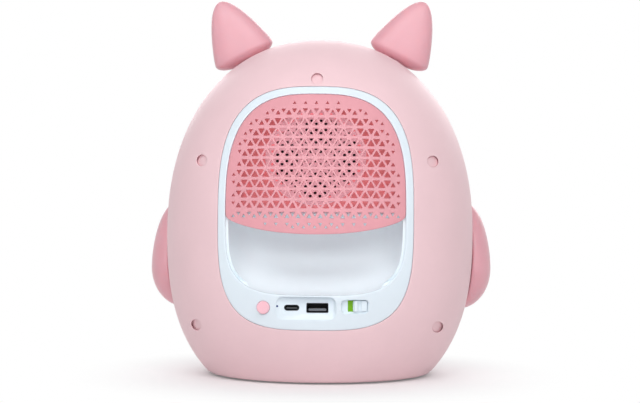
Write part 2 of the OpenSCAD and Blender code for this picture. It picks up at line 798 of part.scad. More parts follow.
module rear_panel() {
    color(panel_white) difference() {
        union() {
            intersection() {
                skin(-panel_w/2 - 1, panel_w/2 + 1, panel_z - panel_down - 1, panel_z + panel_up + 1,
                    10, 12, 0, panel_t);
                prism(rear_outline(0), rear - far, 0);
            }
            rear_lip();
            intersection() {
                plug(-recess_w - hold_wall - 1, recess_w + hold_wall + 1, hold_low - hold_wall - 1,
                    panel_z + recess_up + hold_wall + 1, 10, 10, wall, frame_back);
                union() {
                    prism(upper_recess(hold_wall, hold_top - 4), rear, frame_back);
                    prism(recess_outline(hold_wall), rear, rear + hold_bend + 6);
                    for (a = flange_angles) {
                        p = recess_spot(a, flange_boss_out);
                        rod(p[0], p[1], flange_boss_r, frame_back - flange_boss_len, frame_back);
                    }
                }
            }
            bowl_body();
            plug(-25.5, 15, 40, hold_low - 0.6, 4, 2, 1, rear + port_block_in);
            for (s = port_post_spots)
                rod(s[0], s[1], post_small_r, -face_y(s[0], s[1], 3.5), port_board_y);
            at_switch() for (sx = [-1, 1])
                rod(sx*switch_post_x, switch_post_z, switch_post_r, 4.4, switch_board_in);
        }
        prism(upper_recess(0, shelf_z), rear - far, 0);
        intersection() {
            skin(-recess_w - 2, recess_w + 2, hold_top, shelf_z + 2, 10, 2, -4, baffle_in - 1);
            prism(upper_recess(0, hold_top), rear - far, 0);
        }
        bowl_hollow();
        for (a = flange_angles) {
            p = recess_spot(a, flange_boss_out);
            rod(p[0], p[1], pin_pilot_r, frame_back - flange_boss_len + 0.6, 0);
        }
        round_box(pocket_x, port_z, pocket_w, pocket_h, 4.5, rear - far, rear + pocket_in);
        round_box(usb_c_x, port_z, usb_c_w + gap, usb_c_h + gap, usb_c_h/2, rear, 0);
        round_box(usb_a_x, port_z, usb_a_w + gap, usb_a_h + gap, 0.6, rear, 0);
        rod(key_x, port_z, key_dia/2 + key_gap, rear - far, 0);
        rod(led_x, port_z + 0.9, pipe_bore_r, rear - far, 0);
        for (s = port_post_spots) rod(s[0], s[1], pin_pilot_r, port_board_y - pin_len, 0);
        at_switch() {
            round_box(0, 0, well_w, well_h, 2.4, -far, well_in);
            translate([stem_x - knob_travel - stem_w/2 - gap, 0, -stem_h/2 - gap])
                cube([knob_travel + stem_w + 2*gap, 9, stem_h + 2*gap]);
            for (sx = [-1, 1])
                rod(sx*switch_post_x, switch_post_z, pin_pilot_r, switch_board_in - pin_len, 20);
        }
    }
}

// Grilles with triangular holes that shrink towards the edge

hole_mid = 29.9;
hole_shift = 0.95;
hole_free = 4.6;
lip_free = 5.8;
hole_grow = 6.5;
hole_full = 16.5;
function ramp(e, e0, e1) = let (u = max(0, min(1, (e - e0)/(e1 - e0)))) u*u*(3 - 2*u);
function hole_side(e) = e < hole_free
    ? 0
    : hole_small + (hole_big - hole_small)*ramp(e, hole_grow, hole_full);
function triangle(x, z, s, up) = [for (k = [0:2]) let (a = 90*up + 120*k)
    [x + s*0.577*cos(a), z + s*0.577*sin(a)]];

grille_w = recess_w - gap;
grille_up = recess_up - gap;
grille_drop = panel_z - grille_low - grille_sag;
grille_corner = 4;
function grille_outline() = [for (i = [0:outline_steps - 1]) let (
    a = 360*i/outline_steps,
    n = a <= 180 ? panel_power_up : grille_corner,
    x = grille_w*sign(cos(a))*pow(abs(cos(a)), 2/n),
    s = pow(abs(sin(a)), 2/n)
) [x, a <= 180 ? panel_z + grille_up*s : panel_z - (grille_drop + grille_sag*(1 - pow(x/grille_w, 2)))*s]];
function grille_edge(x, z) = let (
    v = max(0, z - panel_z)/grille_up,
    q = pow(pow(abs(x)/grille_w, panel_power_up) + pow(v, panel_power_up), 1/panel_power_up),
    low = grille_low + grille_sag*pow(x/grille_w, 2)
) min((1 - q)*(grille_w + 4), hole_free + (z - low - lip_free)*0.7);
function disc_edge(x, z) = front_grille_dia/2 - norm([x, z - front_drive_z]);

// All holes of a grille: rows k and columns i of a triangular grid around a middle point
function hole_list(x0, z0, rows, cols, front_one) = [for (k = [-rows:rows], i = [-cols:cols], up = [-1, 1])
    let (
        x = x0 + hole_pitch*(i + (k % 2 == 0 ? 0 : 0.5) + (up > 0 ? 0 : 0.5)),
        z = z0 + hole_row*k - up*hole_shift,
        s = hole_side(front_one ? disc_edge(x, z) : grille_edge(x, z))
    ) if (s > 0) triangle(x, z, s, up)];

module rear_grille() {
    color(deep_pink) difference() {
        union() {
            intersection() {
                skin(-recess_w - 1, recess_w + 1, grille_low - 2, panel_z + recess_up + 2, 10, 9,
                    0, grille_t);
                sheet(grille_outline(), hole_list(0.2, panel_z + hole_mid, 7, 9, false), rear - far, 0);
            }
            for (s = post_spots)
                rod(s[0], s[1], post_r, -face_y(s[0], s[1], grille_t - 0.3), -face_y(s[0], s[1], post_join));
        }
        for (s = post_spots)
            rod(s[0], s[1], pin_pilot_r, -face_y(s[0], s[1], post_join) - 4, 0);
    }
}

// Inner baffle that carries the rear driver and closes its box

function baffle_outline(grow) = upper_recess(grow - skin_gap, skirt_z - grow);
function post_head_y(s) = -face_y(s[0], s[1], baffle_in) + 5;

module rear_baffle() {
    color(deep_pink) difference() {
        union() {
            intersection() {
                skin(-recess_w - 1, recess_w + 1, skirt_z - 2, panel_z + recess_up + 1, 10, 8,
                    baffle_in, baffle_in + baffle_t);
                prism(baffle_outline(0), rear, 0);
            }
            difference() {
                intersection() {
                    plug(-recess_w - 1, recess_w + 1, skirt_z - 2, panel_z + recess_up + 1, 10, 8,
                        baffle_in + 0.3, frame_back + eps);
                    prism(baffle_outline(0), rear, 0);
                }
                prism(baffle_outline(-skirt_t), rear, 0);
            }
            difference() {
                prism(upper_recess(flange_out, skirt_z), frame_back, frame_back + flange_plate_t);
                prism(baffle_outline(-skirt_t), rear, 0);
                rod(tower_spots[0][0], tower_spots[0][1], tower_dia/2 + 2*gap, rear, 0);
            }
            at_rear_driver()
                translate([0, 0, -mount_t]) cylinder(r = rear_drive_r + 2, h = mount_t + tube_tail);
            for (s = post_spots)
                rod(s[0], s[1], post_boss_r, -face_y(s[0], s[1], post_join), post_head_y(s));
        }
        at_rear_driver() {
            cylinder(r = rear_drive_r + 0.4, h = 40);
            translate([0, 0, -mount_t - 1]) cylinder(r = mount_hole_r*rear_scale, h = 10);
            for (a = [45:90:315])
                rotate([0, 0, a]) translate([bolt_r*rear_scale, 0, -1.8]) cylinder(r = pin_pilot_r, h = 4);
        }
        for (s = post_spots) rod(s[0], s[1], pin_hole_r, rear, 0);
        for (a = flange_angles) {
            p = recess_spot(a, flange_boss_out);
            rod(p[0], p[1], pin_hole_r, rear, 0);
        }
    }
}

dot_sides = 8;
function dot(x, y, r) = [for (k = [0:dot_sides - 1]) let (a = 360*k/dot_sides) [x + r*cos(a), y + r*sin(a)]];
guard_r = rear_drive_r + 1.6;
guard_t = 1.8;
guard_rim = 1.8;
// A honeycomb: two dots per cell of a triangle grid, one sixth of the grid's height up and down
function guard_dots() = let (n = ceil(guard_r/dot_pitch) + 1) [
    for (i = [-2*n:2*n], j = [-n:n], s = [-1, 1])
        let (x = dot_pitch*(i + j/2), y = dot_pitch*(j*sin(60) + s*sin(60)/3))
            if (norm([x, y]) < guard_r - guard_rim) dot(x, y, dot_dia/2)];

module rear_driver_guard() {
    holes = guard_dots();
    rim = [for (k = [0:71]) guard_r*[cos(5*k), sin(5*k)]];
    color(key_pink) at_rear_driver() translate([0, 0, -mount_t - guard_t]) linear_extrude(height = guard_t)
        polygon(concat(rim, [for (h = holes) each h]), concat([[for (i = [0:71]) i]],
            [for (h = [0:len(holes) - 1]) [for (i = [0:dot_sides - 1]) 72 + dot_sides*h + i]]));
}

module panel_screws() {
    color(steel) {
        for (a = flange_angles) {
            p = recess_spot(a, flange_boss_out);
            screw_back(p[0], frame_back + flange_plate_t, p[1]);
        }
        for (s = post_spots)
            translate([s[0], post_head_y(s), s[1]]) rotate([90, 0, 0])
                screw(pin_r, post_head_y(s) + face_y(s[0], s[1], post_join) + 3.6, pin_head_r, pin_head_t);
    }
}

// Front panel, built at the back and mirrored

module front_panel() {
    color(panel_white) mirror([0, 1, 0]) difference() {
        union() {
            intersection() {
                skin(-front_w/2 - 1, front_w/2 + 1, front_z - front_down - 1, front_z + front_up + 1,
                    10, 10, 0, panel_t);
                prism(front_outline(0), rear - far, 0);
            }
            intersection() {
                skin(-front_w/2 - lip_w - 1, front_w/2 + lip_w + 1, front_z - front_down - lip_w - 1,
                    front_z + front_up + lip_w + 1, 12, 12, wall + skin_gap, panel_t);
                prism(front_outline(lip_w), rear, 0);
            }
            intersection() {
                plug(-front_ring_w - 1, front_ring_w + 1, front_drive_z - front_ring_w - 1,
                    front_drive_z + front_ring_w + 1, 8, 8, front_seat_t + 0.4, -front_drive_y);
                rod(0, front_drive_z, front_ring_w, rear, 0);
            }
            for (x = key_post_spots)
                rod(x, button_z, post_small_r, -face_y(x, button_z, 3.5), -key_board_y);
        }
        intersection() {
            skin(-front_ring_w - 4, front_ring_w + 4, front_drive_z - front_ring_w - 4,
                front_drive_z + front_ring_w + 4, 8, 8, -3, front_seat_t);
            rod(0, front_drive_z, front_grille_dia/2 + gap, rear - far, 0);
        }
        rod(0, front_drive_z, mount_hole_r*front_scale, rear - far, 0);
        for (a = [45:90:315])
            rod(bolt_r*front_scale*cos(a), front_drive_z + bolt_r*front_scale*sin(a), pin_pilot_r,
                -front_drive_y - 4.5, 0);
        for (i = [0:3]) rod(button_x(i), button_z, button_dia/2 + key_gap, rear - far, 0);
        for (x = key_post_spots) rod(x, button_z, pin_pilot_r, -key_board_y - pin_len, 0);
        for (a = stake_angles) {
            p = front_stake(a);
            rod(p[0], p[1], stake_r + gap, rear, 0);
        }
    }
}
function front_stake(a) = let (e = 2/front_power)
    [(front_w/2 + stake_out)*sign(cos(a))*pow(abs(cos(a)), e),
     front_z + ((a <= 180 ? front_up : front_down) + stake_out)*sign(sin(a))*pow(abs(sin(a)), e)];

module front_grille() {
    r = front_grille_dia/2;
    rim = [for (k = [0:71]) [r*cos(5*k), front_drive_z + r*sin(5*k)]];
    color(deep_pink) mirror([0, 1, 0]) intersection() {
        skin(-r - 1, r + 1, front_drive_z - r - 1, front_drive_z + r + 1, 8, 8, 0.3, grille_t + 0.3);
        sheet(rim, hole_list(0, front_drive_z, 6, 7, true), rear - far, 0);
    }
}

// Ears and flippers

// Half width and half depth of an ear at the height s above its underside
function ear_half(s) = let (
    u = max(0, (ear_h - s)/(ear_h - ear_round)),
    v = min(1, (s + ear_crown)/(ear_round + ear_crown)),
    low = sqrt(max(0, 1 - pow(1 - v, 2)))
) [ear_w/2*(s > ear_round ? pow(u, ear_side_power) : 0.25 + 0.75*low),
    ear_d/2*(s > ear_round ? pow(u, ear_face_power) : 0.1 + 0.9*low)];
ear_levels = concat([for (a = [0:18:90]) -ear_crown + (ear_round + ear_crown)*(1 - cos(a))],
    [for (k = [1:9]) ear_h - (ear_h - ear_round)*pow(1 - k/9.3, 1.6)], [ear_h - 0.02]);

module ear(side) {
    at_ear(side) difference() {
        union() {
            loft([for (s = ear_levels) let (h = ear_half(s)) [for (k = [0:23]) let (a = 15*k)
                [h[0]*sign(cos(a))*pow(abs(cos(a)), 0.85), h[1]*sign(sin(a))*pow(abs(sin(a)), 0.85), s]]]);
            translate([0, 0, -ear_neck_in + 0.2]) cylinder(r = ear_neck_r, h = ear_neck_in + 3);
        }
        translate([0, 0, -ear_neck_in - 1]) cylinder(r = case_pilot_r, h = 12);
    }
}
module ear_left() { color(deep_pink) ear(-1); }
module ear_right() { color(deep_pink) ear(1); }
module ear_screws() {
    color(steel) for (side = [-1, 1])
        at_ear(side) translate([0, 0, -ear_neck_in]) screw(case_r, 9, ear_neck_r + 2, washer_t);
}

flip_turn = asin(flip_y/(body_d/2));
flip_span = asin((flip_y + flip_d/2)/(body_d/2)) - flip_turn;
flip_root_x = half_w(flip_neck_z, 0)*cos(flip_turn);
function flip_point(rho, a, t) = let (
    z = flip_z + rho*sin(a)*(sin(a) > 0 ? flip_up : flip_down),
    turn = flip_turn + rho*cos(a)*flip_span*(1 - 0.22*max(0, sin(a)))
) [half_w(z, t)*cos(turn), half_d(z, t)*sin(turn), z];
flip_steps = [3, 22, 41, 58, 74, 90];
// How far the outer face stands off the case: full in the middle, flip_edge at the outline
flip_edge = 0.9;
function flip_face(rho, a) = -flip_gap - flip_edge
    - (flip_t - flip_gap - flip_edge)*pow(max(0, 1 - pow(rho, 2 - 0.4*sin(a))), 0.52);
module flipper(side) {
    mirror([side > 0 ? 0 : 1, 0, 0]) difference() {
        union() {
            loft(concat(
                [for (q = flip_steps) [for (k = [0:23]) flip_point(sin(q), 15*k, -flip_gap)]],
                [for (q = reversed(flip_steps)) [for (k = [0:23])
                    flip_point(sin(q), 15*k, flip_face(sin(q), 15*k))]]));
            translate([flip_root_x - flip_neck_in + 0.2, flip_y, flip_neck_z]) rotate([0, 90, 0])
                cylinder(r = flip_neck_r, h = flip_neck_in + 4);
        }
        translate([flip_root_x - flip_neck_in - 1, flip_y, flip_neck_z]) rotate([0, 90, 0])
            cylinder(r = case_pilot_r, h = 13);
    }
}
module flipper_left() { color(deep_pink) flipper(-1); }
module flipper_right() { color(deep_pink) flipper(1); }
module flipper_screws() {
    color(steel) for (side = [-1, 1])
        mirror([side > 0 ? 0 : 1, 0, 0]) translate([flip_root_x - flip_neck_in, flip_y, flip_neck_z])
            rotate([0, 90, 0]) screw(case_r, 9, flip_neck_r + 2, washer_t);
}

// Speaker drivers: each piece is drawn for a flange radius of base_r

terminal_turn = 30;
module basket() {
    difference() {
        rotate_extrude() polygon([[22.8, gasket_t], [base_r, gasket_t], [base_r, gasket_t + flange_t],
            [25.6, gasket_t + flange_t], [19.6, 13.4], [18.6, basket_floor], [8.2, basket_floor],
            [8.2, 14.2], [17.4, 14.2], [18.2, 12.6], [24.2, gasket_t + flange_t],
            [22.8, gasket_t + flange_t]]);
        for (k = [0:5]) rotate([0, 0, 60*k]) translate([14, -5, 4.6]) cube([16, 10, 7.4]);
        for (a = [45:90:315]) rotate([0, 0, a]) translate([bolt_r, 0, 0]) cylinder(r = pin_hole_r, h = 4);
    }
    rotate([0, 0, terminal_turn]) translate([19.6, -2.5, 9]) cube([3.4, 5, 4]);
}
module magnet() {
    difference() {
        translate([0, 0, 18.4]) cylinder(r = 18.5, h = 8);
        translate([0, 0, 18]) cylinder(r = 9.5, h = 9);
    }
}
module yoke() {
    difference() {
        translate([0, 0, basket_floor]) cylinder(r = 17, h = 3);
        translate([0, 0, basket_floor - 1]) cylinder(r = 7.6, h = 5);
    }
    translate([0, 0, 26.4]) cylinder(r = 17, h = 2.8);
    translate([0, 0, 15.6]) cylinder(r = 5.8, h = 11);
}
module surround() {
    rotate_extrude() {
        translate([22.9, gasket_t - 0.5]) square([2.7, 0.5]);
        intersection() {
            translate([21.1, gasket_t]) difference() {
                circle(r = 2.35);
                circle(r = 1.85);
            }
            translate([18, gasket_t - 4]) square([6, 4]);
        }
    }
}
module spider() {
    rotate_extrude() {
        polygon([[7.5, 11.7], [9, 11.1], [11, 12.3], [13, 11.1], [14.6, 12.3], [17.1, 11.7], [17.1, 14.2],
            [16, 14.2], [16, 12.5], [14.6, 12.9], [13, 11.7], [11, 12.9], [9, 11.7], [7.5, 12.3]]);
    }
}
module cone_body() {
    rotate_extrude() polygon([[0, 4.6], [3, 4.95], [5.6, 6], [7.6, 7.7], [18.4, 0.3], [18.4, 1],
        [7.4, 8.7], [5.2, 6.7], [2.9, 5.6], [0, 5.25]]);
}
module voice_coil() {
    rotate_extrude() polygon([[6.3, 8.15], [6.7, 8.15], [6.7, 13.9], [7.1, 13.9], [7.1, 17.2], [6.3, 17.2]]);
}
module gasket() {
    difference() {
        cylinder(r = base_r - 0.2, h = gasket_t);
        translate([0, 0, -1]) cylinder(r = mount_hole_r + 0.1, h = 3);
        for (a = [45:90:315]) rotate([0, 0, a]) translate([bolt_r, 0, -1]) cylinder(r = pin_hole_r, h = 4);
    }
}

module in_rear_driver() { at_rear_driver() scale([rear_scale, rear_scale, rear_scale]) children(); }
module in_front_driver() { at_front_driver() scale([front_scale, front_scale, front_scale]) children(); }

module rear_driver_basket() { color(black_part) in_rear_driver() basket(); }
module rear_driver_magnet() { color(black_part) in_rear_driver() magnet(); }
module rear_driver_yoke() { color(steel) in_rear_driver() yoke(); }
module rear_driver_surround() { color(black_part) in_rear_driver() surround(); }
module rear_driver_spider() { color(copper) in_rear_driver() spider(); }
module rear_driver_cone() { color(black_part) in_rear_driver() cone_body(); }
module rear_voice_coil() { color(copper) in_rear_driver() voice_coil(); }
module front_driver_basket() { color(black_part) in_front_driver() basket(); }
module front_driver_magnet() { color(black_part) in_front_driver() magnet(); }
module front_driver_yoke() { color(steel) in_front_driver() yoke(); }
module front_driver_surround() { color(black_part) in_front_driver() surround(); }
module front_driver_spider() { color(copper) in_front_driver() spider(); }
module front_driver_cone() { color(black_part) in_front_driver() cone_body(); }
module front_voice_coil() { color(copper) in_front_driver() voice_coil(); }
module driver_gaskets() {
    color(black_part) {
        in_rear_driver() gasket();
        in_front_driver() gasket();
    }
}
module driver_screw_ring(k, len) {
    for (a = [45:90:315]) rotate([0, 0, a]) translate([bolt_r*k, 0, (gasket_t + flange_t)*k])
        rotate([180, 0, 0]) screw(pin_r, len, pin_head_r - 0.1, pin_head_t);
}
module driver_screws() {
    color(steel) {
        at_rear_driver() driver_screw_ring(rear_scale, (gasket_t + flange_t)*rear_scale + 1.6);
        at_front_driver() driver_screw_ring(front_scale, (gasket_t + flange_t)*front_scale + 3.6);
    }
}

// Push buttons: a cap, a core and a flange that keeps it behind the panel

module push_button(x, z, r, board_y) {
    tip = board_y - tact_h - tact_pin_h - key_rest_gap;
    seat = -low_face_y(x, z, r + key_flange_w + 0.2, panel_t) + skin_gap;
    rod(x, z, r, -face_y(x, z, 0) - key_proud, seat + eps);
    rod(x, z, r + key_flange_w, seat, seat + key_flange_t);
    rod(x, z, key_core_r, seat, max(tip, seat + key_flange_t));
}
module tact_switch(x, z, board_y) {
    translate([x - tact_w/2, board_y - tact_h, z - tact_w/2]) cube([tact_w, tact_h, tact_w]);
    rod(x, z, tact_pin_r, board_y - tact_h - tact_pin_h, board_y - tact_h + eps);
}
function button_x(i) = button_pitch*(i - 1.5);
module front_button(i) {
    mirror([0, 1, 0]) push_button(button_x(i), button_z, button_dia/2, -key_board_y);
}
module rear_button() { color(key_pink) push_button(key_x, port_z, key_dia/2, port_board_y); }
module volume_down_button() { color(key_pink) front_button(0); }
module play_button() { color(key_pink) front_button(1); }
module mode_button() { color(key_pink) front_button(2); }
module volume_up_button() { color(key_pink) front_button(3); }

module tact_switches() {
    color(black_part) {
        tact_switch(key_x, port_z, port_board_y);
        mirror([0, 1, 0]) for (i = [0:3]) tact_switch(button_x(i), button_z, -key_board_y);
    }
}
module key_board() {
    color(board_green) difference() {
        translate([-key_board_w/2, key_board_y - board_t, button_z - key_board_h/2])
            cube([key_board_w, board_t, key_board_h]);
        for (x = key_post_spots) rod(x, button_z, pin_hole_r, 0, front);
    }
}

// Power switch

module power_knob() {
    color(panel_white) at_switch() {
        plate_y = well_in - knob_gap - knob_plate_t;
        round_box(knob_rest, 0, knob_w, well_h - 2*gap, 2, plate_y, plate_y + knob_plate_t);
        translate([knob_rest - knob_w/2 + ridge_in, plate_y - ridge_h, -ridge_len/2])
            cube([ridge_w, ridge_h + eps, ridge_len]);
        translate([stem_x - stem_w/2, plate_y, -stem_h/2]) cube([stem_w, slide_in + 1.2 - plate_y, stem_h]);
    }
}
module slide_switch() {
    color(steel) at_switch() difference() {
        translate([stem_x - knob_travel/2 - slide_w/2, slide_in, -slide_h/2])
            cube([slide_w, slide_t, slide_h]);
        translate([stem_x - knob_travel - stem_w/2 - gap, slide_in - 1, -stem_h/2 - gap])
            cube([knob_travel + stem_w + 2*gap, 1 + slot_in, stem_h + 2*gap]);
    }
}
module switch_mark() {
    color(mark_green) at_switch()
        translate([knob_rest - knob_w/2 - mark_w, well_in - mark_t, -mark_h/2])
            cube([mark_w, mark_t, mark_h]);
}
module switch_board() {
    color(board_green) at_switch() difference() {
        translate([-switch_board_w/2, switch_board_in, -switch_board_h/2 - switch_board_drop])
            cube([switch_board_w, board_t, switch_board_h]);
        for (sx = [-1, 1]) rod(sx*switch_post_x, switch_post_z, pin_hole_r, 0, 20);
    }
}

// Ports

port_face = rear + pocket_in + port_sink;
module port_shell(x, w, h, r) {
    hole_r = max(r - usb_wall, 0.2);
    difference() {
        round_box(x, port_z, w, h, r, port_face, port_board_y);
        round_box(x, port_z, w - 2*usb_wall, h - 2*usb_wall, hole_r, port_face - 1, port_face + usb_depth);
    }
}
module usb_c_port() {
    color(black_part) {
        port_shell(usb_c_x, usb_c_w, usb_c_h, usb_c_h/2 - 0.01);
        translate([usb_c_x - 3.3, port_face + 1, port_z - 0.35]) cube([6.6, usb_depth, 0.7]);
    }
}
module usb_a_port() {
    color(black_part) {
        port_shell(usb_a_x, usb_a_w, usb_a_h, 0.5);
        translate([usb_a_x - 5.6, port_face + 0.8, port_z - 1.9]) cube([11.2, usb_depth, 1.8]);
    }
}
module status_light() {
    z = port_z + 0.9;
    chip = port_board_y - led_h;
    color([0.35, 0.5, 0.95]) {
        rod(led_x, z, pipe_r, -face_y(led_x, z, 0.3), chip + eps);
        translate([led_x - 1.5, chip, z - 1.2]) cube([3, led_h, 2.4]);
    }
}
module port_board() {
    color(board_green) difference() {
        translate([port_board_x - port_board_w/2, port_board_y, port_board_z0])
            cube([port_board_w, board_t, port_board_z1 - port_board_z0]);
        for (s = port_post_spots) rod(s[0], s[1], pin_hole_r, rear, 0);
    }
}

// Main board, battery and what holds them

board_top = main_z + board_t;
module main_board() {
    color(board_green) difference() {
        translate([-main_w/2, main_y - main_d/2, main_z]) cube([main_w, main_d, board_t]);
        for (sx = [-1, 1], sy = [-1, 1])
            translate([sx*main_post_x, main_y + sy*main_post_dy, main_z - 1])
                cylinder(r = pin_hole_r, h = 4);
    }
}
module bluetooth_module() {
    color([0.2, 0.35, 0.5]) translate([radio_x, main_y + radio_in, board_top]) {
        cube([radio_w, radio_d, radio_t]);
        translate([radio_edge, radio_edge, 0])
            cube([radio_w - 2*radio_edge, radio_w - 2*radio_edge, radio_shield_h]);
    }
}
module amplifier_chip() {
    color(black_part) translate([chip_x, main_y - chip_w, board_top]) {
        cube([chip_w, chip_w, chip_t]);
        translate([-chip_legs, chip_edge, 0]) cube([chip_w + 2*chip_legs, chip_w - 2*chip_edge, chip_leg_t]);
    }
}
module socket(p) {
    translate([p[0] - socket_w/2, p[1] - socket_d/2, board_top]) cube([socket_w, socket_d, socket_h]);
}
module board_parts() {
    color([0.85, 0.83, 0.75]) {
        for (p = [battery_socket, rear_socket, front_socket, port_socket, keys_socket]) socket(p);
        for (x = can_spots) translate([x, main_y - can_in, board_top]) cylinder(r = can_r, h = can_h);
        translate([coil_x, main_y - coil_in, board_top]) cube([coil_w, coil_w, coil_h]);
    }
}
module board_screws() {
    color(steel) {
        for (sx = [-1, 1], sy = [-1, 1])
            translate([sx*main_post_x, main_y + sy*main_post_dy, board_top]) rotate([180, 0, 0])
                screw(pin_r, pin_len, pin_head_r, pin_head_t);
        for (sx = [-1, 1])
            translate([sx*tray_tab_x, tray_y, floor_z + tray_post_h + tray_tab_t]) rotate([180, 0, 0])
                screw(pin_r, pin_len, pin_head_r, pin_head_t);
        for (x = key_post_spots) screw_in(x, key_board_y - board_t, button_z);
        for (s = port_post_spots) screw_back(s[0], port_board_y + board_t, s[1]);
        at_switch() for (sx = [-1, 1])
            screw_back(sx*switch_post_x, switch_board_in + board_t, switch_post_z);
    }
}

module battery_cells() {
    color([0.25, 0.45, 0.75]) for (y = cell_ys)
        translate([-cell_len/2, y, cell_z]) rotate([0, 90, 0]) cylinder(r = cell_r, h = cell_len);
}
module battery_tray() {
    color([0.35, 0.36, 0.38]) difference() {
        union() {
            translate([-tray_w/2, tray_y - tray_d/2, floor_z]) cube([tray_w, tray_d, tray_top - floor_z]);
            for (sx = [-1, 1]) {
                translate([sx*(tray_w/2 - 1.1) - 1.1, tray_y - tray_d/2, floor_z])
                    cube([2.2, tray_d, tray_end - floor_z]);
                translate([sx*tray_tab_x - 5, tray_y - 4, floor_z + tray_post_h]) cube([10, 8, tray_tab_t]);
            }
        }
        for (y = cell_ys) translate([-cell_len/2 - gap, y, cell_z]) rotate([0, 90, 0])
            cylinder(r = cell_r + gap, h = cell_len + 2*gap);
        for (sx = [-1, 1])
            translate([sx*tray_tab_x, tray_y, floor_z]) cylinder(r = pin_hole_r, h = main_z);
    }
}
module cell_outline(r) {
    for (y = cell_ys) translate([y, cell_z]) circle(r = r);
    translate([cell_ys[0], cell_z - r]) square([cell_ys[1] - cell_ys[0], 2*r]);
}
module battery_strap() {
    color(black_part) translate([-strap_w/2, 0, 0]) rotate([90, 0, 90]) linear_extrude(height = strap_w)
        difference() {
            cell_outline(cell_r + gap + strap_t);
            cell_outline(cell_r + gap);
            translate([0, tray_top - 40]) square([60, 40]);
        }
}

// Leads inside the case

// Each lead ends lead_gap off what it is joined to
lead_gap = 0.4;
function socket_top(p) = [p[0], p[1], board_top + socket_h + lead_gap];
lead_rise = [0, 0, 5];
terminal_at = [21.4*cos(terminal_turn), 21.4*sin(terminal_turn), 13 + 1.6*lead_gap];
rear_terminal = rear_driver_point(terminal_at*rear_scale);
rear_terminal_out = rear_driver_point((terminal_at + [0, 0, 6])*rear_scale);
front_terminal = front_driver_point(terminal_at*front_scale);
front_terminal_out = front_driver_point((terminal_at + [0, 0, 6])*front_scale);
battery_route = [[31, 28, 25.6], [31, 28, 29.5], [40, 28, 30.5], [49, 28, 33], [49.5, 28, 42],
    socket_top(battery_socket) + lead_rise, socket_top(battery_socket)];
rear_route = [socket_top(rear_socket), socket_top(rear_socket) + lead_rise, [-20, 2, 62], [-4, -8, 84],
    [14, -22, 102], rear_terminal_out, rear_terminal];
front_route = [socket_top(front_socket), socket_top(front_socket) + lead_rise, [30, 36, 66], [36, 32, 96],
    [32, 28, 124], front_terminal_out, front_terminal];
port_route = [socket_top(port_socket), socket_top(port_socket) + lead_rise, [-9, 2, 52], [-9, -24, 50],
    [-9, -48, 40], [-10, port_board_y + board_t + 5, 36],
    [-10, port_board_y + board_t + lead_gap, 36]];
keys_route = [socket_top(keys_socket), socket_top(keys_socket) + lead_rise, [5, 46, 52], [7, 52, 58],
    [8, key_board_y - board_t - 5, 61], [8, key_board_y - board_t - lead_gap, 61]];

module battery_lead() { color([0.8, 0.15, 0.15]) lead(battery_route); }
module speaker_leads() {
    color(black_part) {
        lead(rear_route);
        lead(front_route);
    }
}
module control_leads() {
    color([0.9, 0.9, 0.92]) {
        lead(port_route);
        lead(keys_route);
    }
}

rear_shell();
front_shell();
rubber_feet();
case_screws();
screw_plugs();
rear_panel();
rear_grille();
rear_baffle();
rear_driver_guard();
panel_screws();
front_panel();
front_grille();
ear_left();
ear_right();
ear_screws();
flipper_left();
flipper_right();
flipper_screws();
rear_driver_basket();
rear_driver_magnet();
rear_driver_yoke();
rear_driver_surround();
rear_driver_spider();
rear_driver_cone();
rear_voice_coil();
front_driver_basket();
front_driver_magnet();
front_driver_yoke();
front_driver_surround();
front_driver_spider();
front_driver_cone();
front_voice_coil();
driver_gaskets();
driver_screws();
rear_button();
power_knob();
slide_switch();
switch_mark();
switch_board();
play_button();
volume_down_button();
volume_up_button();
mode_button();
key_board();
tact_switches();
port_board();
usb_c_port();
usb_a_port();
status_light();
main_board();
bluetooth_module();
amplifier_chip();
board_parts();
board_screws();
battery_cells();
battery_tray();
battery_strap();
battery_lead();
speaker_leads();
control_leads();
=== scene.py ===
"""Kids bluetooth speaker, dressed: smooth surfaces, moulded details and finishes over its measured frame."""
import math
from functools import cache

import bmesh
import bpy
import numpy as np
from bpy.props import FloatProperty, FloatVectorProperty, IntProperty, PointerProperty
from bpy.types import Operator, Panel, PropertyGroup
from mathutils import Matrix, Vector


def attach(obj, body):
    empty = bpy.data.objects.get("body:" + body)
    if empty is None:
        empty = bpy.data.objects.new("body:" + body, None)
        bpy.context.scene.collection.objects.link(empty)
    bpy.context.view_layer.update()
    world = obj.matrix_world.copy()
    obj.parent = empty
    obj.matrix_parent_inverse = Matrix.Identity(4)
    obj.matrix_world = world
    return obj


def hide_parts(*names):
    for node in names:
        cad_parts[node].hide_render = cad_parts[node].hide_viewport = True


bl_info = {
    "name": "Kids speaker",
    "version": (1, 0, 0),
    "blender": (4, 5, 0),
    "location": "3D View > Sidebar > Speaker",
    "description": "Builds the case, panels, grilles, ears and controls of a kids bluetooth speaker",
    "category": "Object",
}

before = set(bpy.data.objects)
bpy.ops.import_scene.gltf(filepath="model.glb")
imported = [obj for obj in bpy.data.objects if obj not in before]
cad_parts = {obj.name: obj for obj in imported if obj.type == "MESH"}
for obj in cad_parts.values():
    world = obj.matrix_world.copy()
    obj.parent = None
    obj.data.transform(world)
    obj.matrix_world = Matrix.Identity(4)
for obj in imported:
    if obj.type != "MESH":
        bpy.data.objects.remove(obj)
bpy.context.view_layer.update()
MM = 0.001


def srgb(red, green, blue):
    """A colour given as it looks on a screen, 0 to 255, as scene values."""
    return tuple((c / 255 / 12.92) if c <= 10.3 else ((c / 255 + 0.055) / 1.055) ** 2.4 for c in (red, green, blue))


def length(name, value, text, low=0.0):
    """A length property, given in millimetres and kept in metres."""
    return FloatProperty(name=name, default=value * MM, min=low, unit="LENGTH", precision=5, description=text)


